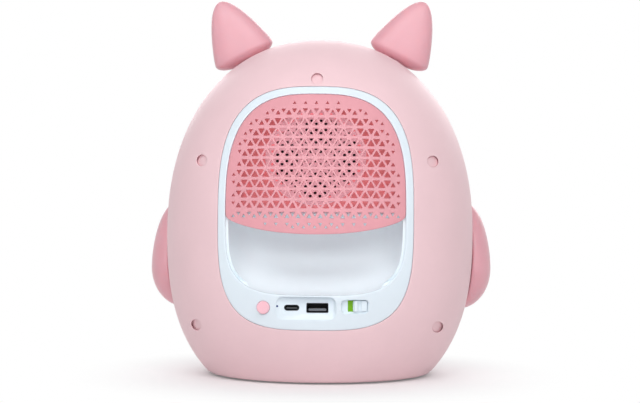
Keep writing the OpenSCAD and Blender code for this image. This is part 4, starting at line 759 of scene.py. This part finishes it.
def rounded_plate(outer, inner, side, edges, thick, rows):
    """Closed ring between two outlines that follows the case: its outer and inner edges are quarter circles with
    the radii in edges, and its back lies thick inside its face."""
    place, (r_out, r_in) = on_case(side), edges
    rings = [(outer, thick)]
    rings += [(offset(outer, -r_out * (1 - math.cos(b))), r_out * (1 - math.sin(b))) for b in QUARTER]
    near, far = rings[-1][0], offset(inner, r_in)
    rings += [(near + (far - near) * s, 0) for s in np.linspace(0, 1, rows)[1:-1]]
    rings += [(offset(inner, r_in * (1 - math.cos(b))), r_in * (1 - math.sin(b))) for b in QUARTER[::-1]]
    rings += [(inner + (outer - inner) * s, thick) for s in (0, 0.25, 0.5, 0.75)]
    return Shape().grid(np.stack([place(*p.T, t) for p, t in rings]), True, True)


def drawn_in(line, share, left, right, down, up):
    """An outline whose four sides are drawn in by their own amounts times a share."""
    (x0, z0), (x1, z1) = line.min(0), line.max(0)
    x = np.interp(line[:, 0], (x0, x1), (x0 + left * share, x1 - right * share))
    return np.stack([x, np.interp(line[:, 1], (z0, z1), (z0 + down * share, z1 - up * share))], -1)


def tray_cutter(line, draws, surface, floor):
    """Closed cutter of a tray: from its outline on the surface its walls slope in by draws to a floor, which they
    meet in a rounded corner."""
    rows = [surface(*offset(line, g).T, t) for g, t in ((0.3, -4), (0.3, -0.03), (0.12, 0.06), (0, 0.25))]
    top, low = surface(*line.T, 0.25), floor(*drawn_in(line, 0.94, *draws).T, 0)
    rows += [top + (low - top) * s for s in (0.3, 0.6, 0.85)]
    rows += [floor(*drawn_in(line, share, *draws).T, t) for share, t in ((0.97, -0.12), (1.0, -0.02), (1.12, 0))]
    rows += [rows[-1].mean(0) + (rows[-1] - rows[-1].mean(0)) * s for s in (0.6, 0.3, 0)]
    lid = rows[0].mean(0)
    return Shape().grid(np.stack([lid + (rows[0] - lid) * s for s in (0, 0.5)] + rows))


def hand_hold():
    """Tub of the hand hold: rings x = w cos^(2/n), z = top - down sin^(2/n) whose size shrinks with the cosine of an
    angle while their depth grows with its sine, a flat back and a flat ceiling."""
    n, half = 2 / RECESS_POWERS[1], S.panel_w / 2 - S.rim_w
    a = np.linspace(0, math.pi, 161)
    even = a - 0.16 * np.sin(4 * a)
    c, s = np.cos(even), np.sin(even)
    across, down = np.sign(c) * np.abs(c) ** n, np.abs(s) ** n
    turns = np.linspace(0, math.pi / 2, 26)[:, None]
    w = half - S.hold_side * (1 - np.cos(turns))
    fall = S.hold_top - S.hold_low - S.hold_climb * (1 - np.cos(turns))
    y = -S.body_d / 2 + S.hold_bend + (S.hold_depth - S.hold_bend) * np.sin(turns)
    bowl = np.stack([w * across, y + 0 * across, S.hold_top - fall * down], -1)
    start, last = bowl[0].copy(), bowl[-1].copy()
    start[:, 1] = -face_y(start[:, 0], start[:, 2], S.panel_t - 0.1)
    wall = start + (bowl[0] - start) * np.linspace(0, 1, 5)[:-1, None, None]
    last[:, 2] = S.hold_top
    back = bowl[-1] + (last - bowl[-1]) * np.linspace(0, 1, 9)[1:, None, None]
    share, past, start_in = np.linspace(-1, 1, 41), 1.5, 11.5  # the ceiling starts inside the case and passes the tub
    front = -face_y(half * share, np.full(41, S.hold_top), start_in)
    edge = np.concatenate([half * share[None], w * share, w[-1:] * share]) + past * share
    deep = np.concatenate([front[None], y + 0 * share, y[-1:] + past + 0 * share])
    ceiling = np.stack([edge, np.maximum(deep, front), np.full(edge.shape, S.hold_top)], -1)
    return Shape().grid(np.concatenate([wall, bowl, back]), False).grid(ceiling, False)


class SPEAKER_OT_rear_panel(Operator):
    """Builds the white rear panel with its sunken port recess and switch well, and the tub of the hand hold."""
    bl_idname = "speaker.rear_panel"
    bl_label = "Rear panel"

    def execute(self, context):
        angle = even_angles(rear_panel_line, context.scene.speaker_sizes.columns)
        ring = rounded_plate(rear_panel_line(angle), recess_line(angle), REAR, (0.7, 0.9), S.panel_t, 18)
        face, floor = on_case(REAR), flat(REAR, S.body_d / 2 - S.pocket_in)
        mouth = round_rect(S.pocket_x, S.port_z - 0.1, S.pocket_w + 3, S.pocket_h, 4.5, 12)
        well = round_rect(0.1, 0, S.well_w + 0.2, S.well_h, 2.4, 12)
        cutters = [tray_cutter(mouth, (3.4, 1.6, 3.0, 0.2), face, floor),
                   bore(circle(S.key_x, S.port_z, S.key_d / 2 + 0.1), face, 0.35, 12),
                   bore(circle(LIGHT_X, S.port_z + LIGHT_UP, 0.65, 24), face, 0.02, 12)]
        through = [(0.1, -2), (0.1, 0.02), (0, 0.15), (0, 9)]
        cutters += [Shape().sweep(round_rect(x, S.port_z, w, h, r), through, floor)
                    for x, w, h, r in ((S.small_x, 9.3, 3.6, 1.79), (S.large_x, 13.4, 6, 0.6))]
        cutters += [tray_cutter(well, (0.7, 0.5, 2.1, 0.2), at_switch,
                                lambda x, z, t: at_switch(x, z, S.well_in + t)),
                    Shape().sweep(round_rect(2.0, 0, 4.8, 3, 0.2), [(0, 1), (0, 12)], at_switch)]
        make_piece("rear_panel_face", ring, white_finish(), "panel_white", "rear_panel", cutters=cutters)
        make_piece("hand_hold", hand_hold(), hold_finish(), "panel_white", "rear_panel", wall=1.8)
        return {"FINISHED"}


# Grilles

def hole_cutter(level, rows, across, margin, place, reach, middle=0.0):
    """All the triangular holes of a grille as one closed cutter. Rows of upright and hanging triangles alternate; a
    triangle's side grows from the small to the large one with the smooth step of its distance from the border, and
    none is made close to it. Each has round corners and flares at the face."""
    start, fade, least = 4, 9, 3.7  # distances from the border in millimetres
    k, i, up = (g.ravel() for g in np.meshgrid(np.arange(-rows, rows + 1), np.arange(-across, across + 1), (-1, 1),
                                              indexing="ij"))
    x = middle + S.hole_pitch * (i + 0.5 * (k % 2) + 0.5 * (up < 0))
    z = level + S.hole_row * k - S.hole_row * 0.15 * up
    gap = margin(x, z)
    step = np.clip((gap - start) / fade, 0, 1)
    side = S.hole_small + (S.hole_big - S.hole_small) * step * step * (3 - 2 * step)
    corner = math.pi * np.repeat([90, 210, 330], 4) / 180
    turn = math.pi * np.array([[90 + 120 * j + d for d in (-60, -20, 20, 60)] for j in range(3)]).ravel() / 180
    tip, soft = 0.577, 0.07  # reach of a corner and its radius, for a side of 1
    unit = np.stack([(tip - 2 * soft) * f(corner) + soft * f(turn) for f in (np.cos, np.sin)])
    rings = ((0, -1.5), (1.12, -1.5), (1.12, -0.02), (1.03, 0.12), (1, 0.4), (1, reach), (0, reach))
    made = Shape()
    for cx, cz, cup, size in np.stack([x, z, up, side], -1)[gap >= least]:
        made.grid(np.stack([place(cx + cup * unit[0] * size * g, cz + cup * unit[1] * size * g, t)
                            for g, t in rings]))
    return made


class SPEAKER_OT_rear_grille(Operator):
    """Builds the rear grille, a plate with triangular holes and a free lip over the hand hold."""
    bl_idname = "speaker.rear_grille"
    bl_label = "Rear grille"

    def execute(self, context):
        half, up = S.panel_w / 2 - S.rim_w - S.fit, S.panel_up - S.rim_w - S.fit
        high, sag, powers = S.panel_z - S.grille_low - S.grille_sag, S.grille_sag, (PANEL_POWERS[0], 4)

        def line(angle):
            c, s = np.cos(angle), np.sin(angle)
            n = np.where(s >= 0, *powers)
            across, tall = power(c, n), np.abs(s) ** (2 / n)
            down = (high + sag * (1 - across ** 2)) * tall
            return np.stack([half * across, S.panel_z + np.where(s >= 0, up * tall, -down)], -1)

        def margin(x, z):
            over = np.maximum(0, z - S.panel_z)
            to_top = (1 - ((np.abs(x) / half) ** 3 + (over / up) ** 3) ** (1 / 3)) * (half + 4)
            above_lip = z - (S.grille_low + sag * (x / half) ** 2)
            return np.minimum(to_top, 5.6 + 0.42 * (above_lip - 5)) * np.where(above_lip < 3.6, 0, 1)

        face = Shape().sweep(line(even_angles(line, 280)), plate(0.7, S.grille_t), on_case(REAR), rows=30)
        holes = hole_cutter(S.panel_z + 29.9, 7, 9, margin, on_case(REAR), S.grille_t + 1, middle=0.2)
        make_piece("grille_back", face, grille_finish(), "grille_pink", "rear_grille", cutters=[holes])
        return {"FINISHED"}


class SPEAKER_OT_guard(Operator):
    """Builds the pale disc over the rear driver, with staggered rows of round holes that widen towards the back."""
    bl_idname = "speaker.guard"
    bl_label = "Driver guard"

    def execute(self, context):
        radius, border = 31.1, 29.4  # of the disc, and of the middles of its holes
        disc = Shape().sweep(circle(0, 0, radius, 144), plate(0.5, 1.8), at_guard, rows=4)
        i, j = (g.ravel() for g in np.meshgrid(np.arange(-14, 15), np.arange(-15, 16), indexing="ij"))
        spots = np.stack([S.guard_pitch * (i + 0.5 * (j % 2)), S.guard_row * j + 0.95], -1)
        unit, holes = circle(0, 0, 1, 14), Shape()
        for spot in spots[np.hypot(*spots.T) < border]:
            holes.grid(np.stack([at_guard(*(spot + unit * r).T, t) for r, t in
                                 ((0, -1), (1.1, -1), (1.1, 0.02), (1, 0.2), (1, 0.6), (1.5, 2.4), (0, 2.4))]))
        # glow=0.3 is painted light: the disc glows so that it looks lit through the grille's holes.
        guard = moulded("guard pink", tone("guard_pink"), 0.46, 0.35, 0.4, 0.02, glow=0.3)
        make_piece("guard_disc", disc, guard, "key_pink", "rear_driver_guard", cutters=[holes])
        return {"FINISHED"}


# Front

def button_marks():
    """The outline or outlines of each front button's mark, around the middle of its face."""
    w, r = 0.55, 2.4
    plus = np.array([[w, r], [-w, r], [-w, w], [-r, w], [-r, -w], [-w, -w], [-w, -r], [w, -r], [w, -w], [r, -w],
                     [r, w], [w, w]])
    arrow = np.array([[1.5, 2.2], [-2.4, 0.0], [1.5, -2.2]])
    return {"volume_down": [round_rect(0, 0, 4.8, 1.1, 0.5, 4)], "play": [arrow],
            "mode": [circle(x, 0, 0.65, 20) for x in (-1.9, 0, 1.9)], "volume_up": [plus]}


def button(name, x, z, r, side, body, node, marks=()):
    """A round button with a rounded rim and a slight dish, whose white marks are let into its face."""
    place = flat(side, float(face_y(np.array(x), np.array(z))) + S.key_proud)
    cap = Shape().sweep(circle(x, z, r, 96), [(0, 8)] + rim(0.8), place, -0.12)
    marks = [fill_in(line + [x, z], 0.5) for line in marks]
    sunk = [Shape().sweep(line, [(0.1, -1), (0.1, 0.1), (0, 0.3), (0, 0.7)], place) for line in marks]
    make_piece(name, cap, button_finish(), "key_pink", node, body=body, cutters=sunk)
    if marks:
        inlay = Shape()
        for line in marks:
            inlay.sweep(offset(line, -0.02), [(0, 0.8), (0, 0.35)], place)
        make_piece(name + "_mark", inlay, white_finish(), "panel_white", body=body)


class SPEAKER_OT_front(Operator):
    """Builds the front panel, its round grille and the row of buttons with their marks."""
    bl_idname = "speaker.front"
    bl_label = "Front panel, grille and buttons"

    def execute(self, context):
        place, disc, driver = on_case(FRONT), S.disc_d / 2, 33.96
        spots = S.button_pitch * np.array([-1.5, -0.5, 0.5, 1.5])
        panel = Shape().sweep(front_panel_line(even_angles(front_panel_line, 240)), plate(0.9, S.panel_t), place,
                              rows=30)
        cutters = [bore(circle(0, S.disc_z, disc + S.fit, 160), place, 0.9, 2.8),
                   Shape().sweep(circle(0, S.disc_z, driver, 120), [(0, 1), (0, 9)], place)]
        cutters += [bore(circle(x, S.button_z, S.button_d / 2 + 0.25), place, 0.5, 9) for x in spots]
        make_piece("front_panel_face", panel, white_finish(), "panel_white", "front_panel", cutters=cutters)
        face = Shape().sweep(circle(0, S.disc_z, disc, 200), plate(0.7, S.grille_t), on_case(FRONT, 0.3), rows=24)
        holes = hole_cutter(S.disc_z, 6, 7, lambda x, z: disc - np.hypot(x, z - S.disc_z), place, S.grille_t + 2)
        make_piece("grille_front", face, grille_finish(), "grille_pink", "front_grille", cutters=[holes])
        marks = button_marks()
        for x, name in zip(spots, ("volume_down", "play", "mode", "volume_up")):
            button(f"{name}_cap", x, S.button_z, S.button_d / 2, FRONT, f"{name}_key", f"{name}_button", marks[name])
        return {"FINISHED"}


class SPEAKER_OT_rear_button(Operator):
    """Builds the round pink button beside the ports."""
    bl_idname = "speaker.rear_button"
    bl_label = "Rear button"

    def execute(self, context):
        button("rear_cap", S.key_x, S.port_z, S.key_d / 2, REAR, "rear_key", "rear_button")
        return {"FINISHED"}


# Ports, switch and light

def tube(outline, wall, y0, y1):
    """A closed sleeve along Y at the back, between two distances from the seam plane, with a softened front edge."""
    rings = [(-wall, y1), (0, y1), (0, y0 - 0.1), (-0.1, y0), (0.1 - wall, y0), (-wall, y0 - 0.1)]
    return Shape().grid(np.stack([flat(REAR, y)(*offset(outline, g).T, 0) for g, y in rings]), True, True)


class SPEAKER_OT_ports(Operator):
    """Builds the two sockets in the port recess with their tongues and contacts, and the status light."""
    bl_idname = "speaker.ports"
    bl_label = "Ports and light"

    def execute(self, context):
        front = S.body_d / 2 - S.pocket_in - 0.3
        dark = metal("port sleeve", srgb(70, 72, 78), 0.38)
        black = moulded("port black", srgb(9, 9, 11), 0.5, 0.3, 0.3, 0.05)
        grey = moulded("tongue grey", srgb(112, 116, 122), 0.4, 0.3, 0.3, 0.05)
        for name, node, x, (w, h, r, steps), wall, (down, tongue_w, tongue_h, sunk) in (
                ("small_port", "usb_c_port", S.small_x, (9, 3.3, 1.64, 10), 0.35, (0.25, 6.8, 0.55, 1.0)),
                ("large_port", "usb_a_port", S.large_x, (13.1, 5.7, 0.5, 6), 0.3, (1.15, 10.8, 1.5, 0.8))):
            line = round_rect(x, S.port_z, w, h, r, steps)
            make_piece(name, tube(line, wall, front, PORT_BACK), dark, "shield_steel", node)
            inside = [(0, 0), (0, front - PORT_BACK - 5)]
            make_piece(name + "_inside", Shape().sweep(offset(line, -wall - 0.01), inside, flat(REAR, PORT_BACK + 5)),
                       black, "port_black")
            tongue = round_rect(x, S.port_z - down, tongue_w, tongue_h, tongue_h * 0.3, 5)
            make_piece(name + "_tongue", Shape().sweep(tongue, [(0, 12)] + rim(0.15), flat(REAR, front - sunk)), grey,
                       "port_black")
        pins = Shape()
        for spots, up, w, h, back, sunk in (
                (np.linspace(-2.75, 2.75, 12) + S.small_x, 0.03, 0.26, 0.05, 6, 1.5),
                (np.array([-3.5, -1.0, 1.0, 3.5]) + S.large_x, -0.39, 1.1, 0.06, 8, 2)):
            for x in spots:
                pins.sweep(round_rect(x, S.port_z + up, w, h, 0.02, 2), [(0, back), (0, 0)], flat(REAR, front - sunk))
        make_piece("port_contacts", pins, metal("contact gold", srgb(150, 128, 86), 0.3), "shield_steel")
        light = Shape().sweep(circle(LIGHT_X, S.port_z + LIGHT_UP, 0.62, 32), [(0, 6)] + rim(0.2),
                              on_case(REAR, 0.75), 0.1)
        make_piece("light", light, glowing("status light", tone("light_blue"), 0.06), "light_blue", "status_light")
        return {"FINISHED"}


class SPEAKER_OT_switch(Operator):
    """Builds the power switch, a plate with a grip, a ridge and a stem, and the green mark that it uncovers."""
    bl_idname = "speaker.switch"
    bl_label = "Power switch"

    def execute(self, context):
        knob, up = Shape(), 0.75
        for x, w, h, r, back, edge, face in ((3.6, 8.6, 6.7, 1.0, 2.02, 0.12, 1.85),
                                             (6.0, 3.7, 6.5, 0.9, 1.95, 0.4, 1.1),
                                             (0.7, 2, 6.5, 0.5, 1.95, 0.4, -0.4)):
            knob.sweep(round_rect(x, up, w, h, r), [(0, back)] + rim(edge, face), at_switch)
        knob.sweep(round_rect(3.8, 0, 1.1, 2.4, 0.3), [(0, 10.6), (0, 1.9)], at_switch)
        make_piece("switch_cap", knob, white_finish(), "knob_white", "power_knob", body="switch_knob")
        mark = Shape().sweep(round_rect(-2.1, 0.85, 3.5, 6.9, 0.3), [(0, 2.55)] + rim(0.08, 2.3), at_switch)
        green = moulded("mark green", tone("mark_green"), 0.4, 0.25, 0.3, 0.05)
        make_piece("switch_green", mark, green, "mark_green", "switch_mark")
        return {"FINISHED"}


# Ears and flippers

def ear_sizes(s):
    """Half width and half depth of an ear at the height s on its axis: the smaller of a top that narrows by a power
    and an underside that rounds in by an arc, blended so that no crease is left between them."""
    blend = 40
    u = np.maximum(0, (S.ear_h - s) / (S.ear_h - EAR_LOW - EAR_ROUND))
    v = np.clip((s - EAR_LOW) / EAR_ROUND, 0, 1)
    low = np.sqrt(1 - (1 - v) ** 2)
    return [half * -np.log(np.exp(-blend * u ** n) + np.exp(-blend * np.minimum(1, foot + (1 - foot) * low))) / blend
            for half, n, foot in ((S.ear_w / 2, 0.53, 0.25), (S.ear_d / 2, 0.42, 0.1))]


class SPEAKER_OT_ears(Operator):
    """Builds both ears: closed forms with superellipse sections along a leaning axis, and round necks."""
    bl_idname = "speaker.ears"
    bl_label = "Ears"

    def execute(self, context):
        top = S.ear_h - (S.ear_h - EAR_LOW - EAR_ROUND) * np.linspace(0, 1, 44)[::-1] ** 2
        bottom = EAR_LOW + EAR_ROUND * (1 - np.cos(np.linspace(0, math.pi / 2, 16)))
        s = np.concatenate([bottom[:-1], top])[:, None]
        angle = np.linspace(0, 2 * math.pi, 128, endpoint=False)
        w, d = ear_sizes(s)
        w[-1] = d[-1] = 0
        x, y = w * power(np.cos(angle), 2 / 0.85), d * power(np.sin(angle), 2 / 0.85)
        for side, name in ((-1, "ear_left"), (1, "ear_right")):
            place = ear_place(side)
            under = place(x[:1] * 0, y[:1] * 0, -EAR_LOW + 0 * x[:1])
            ear = Shape().grid(np.concatenate([under, place(x, y, -s + 0 * x)]))
            ear.sweep(circle(0, 0, EAR_NECK, 48), [(0, 13), (0, -3)], place)
            make_piece(name + "_skin", ear, limb_finish(), "ear_pink", name, sharp=60)
        return {"FINISHED"}


class SPEAKER_OT_flippers(Operator):
    """Builds both flippers: pads that follow the case, thickest in the middle, with round necks."""
    bl_idname = "speaker.flippers"
    bl_label = "Flippers"

    def execute(self, context):
        turn, span = flipper_turn()
        a = np.linspace(0, 2 * math.pi, 160, endpoint=False)
        c, n = np.cos(a), np.sin(a)
        reach = np.where(n >= 0, S.flip_up, S.flip_down)
        width = span * (1 - 0.22 * np.maximum(0, n))

        def rows(share, t):
            z = S.flip_z + share * n * reach
            at = turn + share * c * width
            return np.stack([half_w(z, t) * np.cos(at), half_d(z, t) * np.sin(at), z], -1)

        share = np.sin(np.linspace(0, math.pi / 2, 40))[:, None]
        deep = -1.5 - (S.flip_t - 1.5) * np.maximum(0, 1 - share ** (2 - 0.4 * n)) ** 0.52
        edge = np.array([[0.995, -1.1], [0.985, -0.8], [0.97, -0.6], [0.6, -0.6], [0.3, -0.6], [0, -0.6]])
        skin = np.concatenate([rows(share, deep), rows(edge[:, :1], edge[:, 1:] + 0 * n)])
        for side, name in ((-1, "flipper_left"), (1, "flipper_right")):
            flipper = Shape().grid(skin * [side, 1, 1])
            flipper.sweep(circle(0, 0, FLIPPER_NECK, 48), [(0, 14), (0, -4)], flipper_place(side))
            make_piece(name + "_skin", flipper, limb_finish(), "ear_pink", name, sharp=60)
        return {"FINISHED"}


# Inner parts, which keep the frame's own shapes

def inner_finishes():
    """Finishes of the frame's own nodes by node name, and by slot for a node that has several."""
    steel = metal("bright steel", srgb(196, 198, 202), 0.28)
    copper = metal("coil wire", srgb(196, 112, 60), 0.32, (1.0, 1.0, 9.0))
    laminate, tray = board("circuit board"), moulded("tray grey", srgb(150, 154, 160), 0.5, 0.4, 0.5, 0.03)
    red, black, white = (moulded(f"{name} lead", srgb(*rgb), 0.45, 0.2, 0.2, 0.04) for name, rgb in
                         (("red", (188, 44, 40)), ("black", (34, 34, 36)), ("white", (224, 224, 220))))
    nodes = (
        ("case_screws panel_screws ear_screws flipper_screws driver_screws board_screws", steel),
        ("rear_driver_yoke front_driver_yoke", metal("zinc plated", srgb(176, 178, 176), 0.34)),
        ("rear_driver_basket front_driver_basket", moulded("basket black", srgb(36, 37, 40), 0.55, 0.5, 0.6, 0.08)),
        ("rear_driver_cone front_driver_cone", pleated("cone paper", srgb(26, 26, 29), 900, 0.72)),
        ("rear_driver_surround front_driver_surround",
         moulded("surround rubber", srgb(24, 24, 26), 0.62, 0.25, 0.3, 0.05)),
        ("rear_driver_spider front_driver_spider", pleated("spider cloth", srgb(196, 146, 82), 1400)),
        ("rear_driver_magnet front_driver_magnet", moulded("ferrite", srgb(62, 62, 66), 0.7, 0.6, 0.8, 0.1)),
        ("rear_voice_coil front_voice_coil", copper),
        ("driver_gaskets", moulded("gasket foam", srgb(48, 47, 50), 0.9, 0.8, 1.0, 0.1)),
        # glow=0.25 is painted light: the baffle glows so that it looks lit behind the grille.
        ("rear_baffle", moulded("baffle pink", tone("baffle_pink"), 0.5, 0.5, 0.5, 0.03, glow=0.25)),
        ("key_board port_board switch_board main_board bluetooth_module", laminate),
        ("tact_switches slide_switch board_parts amplifier_chip",
         moulded("chip black", srgb(30, 31, 33), 0.5, 0.2, 0.3, 0.06)),
        ("battery_tray battery_strap", tray),
        ("battery_cells", moulded("cell wrap", srgb(64, 132, 92), 0.3, 0.3, 0.2, 0.04)),
        ("battery_lead", red), ("speaker_leads", black), ("control_leads", white))
    slots = {"shield_steel": steel, "coil_copper": copper, "board_green": laminate, "tray_grey": tray,
             "lead_red": red, "lead_black": black, "lead_white": white,
             "socket_cream": moulded("socket cream", srgb(228, 219, 198), 0.42, 0.3, 0.3, 0.03)}
    return {node: finish for names, finish in nodes for node in names.split()}, slots


class SPEAKER_OT_inner_parts(Operator):
    """Gives every node of the frame that stays its finish, slot by slot where a node has several."""
    bl_idname = "speaker.inner_parts"
    bl_label = "Inner parts"

    def execute(self, context):
        by_node, by_slot = inner_finishes()
        for name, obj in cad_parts.items():
            for slot in obj.material_slots:
                key = slot.material.name.split(".")[0] if slot.material else ""
                ranked = [by_node.get(name), by_slot.get(key)]
                if len(obj.material_slots) > 1:
                    ranked.reverse()
                slot.material = ranked[0] or ranked[1] or slot.material
        return {"FINISHED"}


# Stage

def white_behind(world):
    """Gives a world a soft light that is stronger from above, and a plain white for what the camera sees of it."""
    world.node_tree.nodes.clear()
    sky = Nodes(world.node_tree)
    up = sky.node("ShaderNodeSeparateXYZ", {}, {0: sky.node("ShaderNodeTexCoord", output="Generated")}, 2)
    strength = up.ramp(-0.3, 1) * 0.42 + 0.08
    lit = sky.node("ShaderNodeBackground", {}, {"Color": (0.97, 0.98, 1.0), "Strength": strength})
    white = sky.node("ShaderNodeBackground", {}, {"Color": (1, 1, 1)})
    mixed = sky.node("ShaderNodeMixShader", {}, {0: sky.seen(), 1: lit, 2: white})
    sky.node("ShaderNodeOutputWorld", {}, {"Surface": mixed})


def lay_floor():
    """A wide pale floor. Away from the speaker it is plain white to the camera, and it keeps the shadow."""
    floor, reach = Finish("floor", 0.0, 0.85), 4
    away = floor.node("ShaderNodeVectorMath", {"operation": "LENGTH"}, {0: floor.place()}, "Value")
    paper = floor.mix(floor.noise(3), (0.89, 0.89, 0.9), (0.91, 0.91, 0.91))
    floor.put("Base Color", floor.mix(floor.seen(), (0.86, 0.86, 0.86), paper))
    whiten = floor.seen() * (away.ramp(0.07, 0.17) * 0.85 + 0.15)
    mixed = floor.node("ShaderNodeMixShader", {}, {0: whiten, 1: Val(floor, floor.shader.outputs[0]),
                                                   2: floor.node("ShaderNodeEmission")})
    floor.fill(floor.tree.nodes["Material Output"].inputs["Surface"], mixed)
    mesh = bpy.data.meshes.new("floor")
    mesh.from_pydata([(-reach, -reach, 0), (reach, -reach, 0), (reach, reach, 0), (-reach, reach, 0)], [],
                     [(0, 1, 2, 3)])
    mesh.materials.append(floor.material)
    add_object("floor", mesh)


def lamp(name, size, watts, at, towards=(0, 0, 0.11)):
    """A soft light of some width and height, at a point and facing another."""
    data = bpy.data.lights.new(name, "AREA")
    data.shape, data.size, data.size_y, data.energy = "RECTANGLE", *size, watts
    obj = add_object(name, data)
    obj.location = at
    obj.rotation_euler = (Vector(towards) - Vector(at)).to_track_quat("-Z", "Y").to_euler()


def place_camera():
    """The camera, level and a metre away, at the height and turn of the photograph."""
    yaw, roll, height = math.radians(2.1), math.radians(-0.35), 0.114
    data = bpy.data.cameras.new("camera")
    data.lens, data.sensor_width, data.clip_start = 84.6, 36, 0.05
    camera = add_object("camera", data)
    camera.location = (math.sin(yaw), -math.cos(yaw), height)
    camera.rotation_euler = (math.pi / 2, roll, yaw)
    bpy.context.scene.camera = camera


class SPEAKER_OT_stage(Operator):
    """Builds the pale floor, the white surroundings, the soft lights and the camera."""
    bl_idname = "speaker.stage"
    bl_label = "Stage"

    def execute(self, context):
        scene = context.scene
        scene.view_settings.view_transform = "Standard"
        lay_floor()
        scene.world = bpy.data.worlds.new("studio")
        scene.world.use_nodes = True
        white_behind(scene.world)
        lamp("key light", (1.9, 0.5), 11, (-0.02, -1.15, 1.15))
        lamp("front light", (2.4, 0.3), 7.5, (0.05, -1.45, 0.6))
        lamp("far light", (2.2, 0.8), 14, (0.1, 1.4, 0.8))
        place_camera()
        return {"FINISHED"}


class SPEAKER_PT_sidebar(Panel):
    """The speaker's pieces, sizes and colours in the sidebar of the 3D view."""
    bl_idname = "SPEAKER_PT_sidebar"
    bl_label = "Kids speaker"
    bl_space_type = "VIEW_3D"
    bl_region_type = "UI"
    bl_category = "Speaker"

    def draw(self, context):
        for operator in OPERATORS:
            self.layout.operator(operator.bl_idname)
        for group in (context.scene.speaker_sizes, context.scene.speaker_colours):
            box = self.layout.box()
            for name in group.bl_rna.properties.keys():
                if name not in ("rna_type", "name"):
                    box.prop(group, name)


OPERATORS = (SPEAKER_OT_stage, SPEAKER_OT_case, SPEAKER_OT_feet, SPEAKER_OT_rear_panel, SPEAKER_OT_rear_grille,
             SPEAKER_OT_guard, SPEAKER_OT_rear_button, SPEAKER_OT_ports, SPEAKER_OT_switch, SPEAKER_OT_front,
             SPEAKER_OT_ears, SPEAKER_OT_flippers, SPEAKER_OT_inner_parts)
CLASSES = (SpeakerSizes, SpeakerColours) + OPERATORS + (SPEAKER_PT_sidebar,)


def register():
    for each in CLASSES:
        bpy.utils.register_class(each)
    bpy.types.Scene.speaker_sizes = PointerProperty(type=SpeakerSizes)
    bpy.types.Scene.speaker_colours = PointerProperty(type=SpeakerColours)


def unregister():
    del bpy.types.Scene.speaker_sizes, bpy.types.Scene.speaker_colours
    for each in reversed(CLASSES):
        bpy.utils.unregister_class(each)


def main():
    """Builds everything in order."""
    register()
    for operator in OPERATORS:
        group, name = operator.bl_idname.split(".")
        getattr(getattr(bpy.ops, group), name)()


if __name__ == "__main__":
    main()
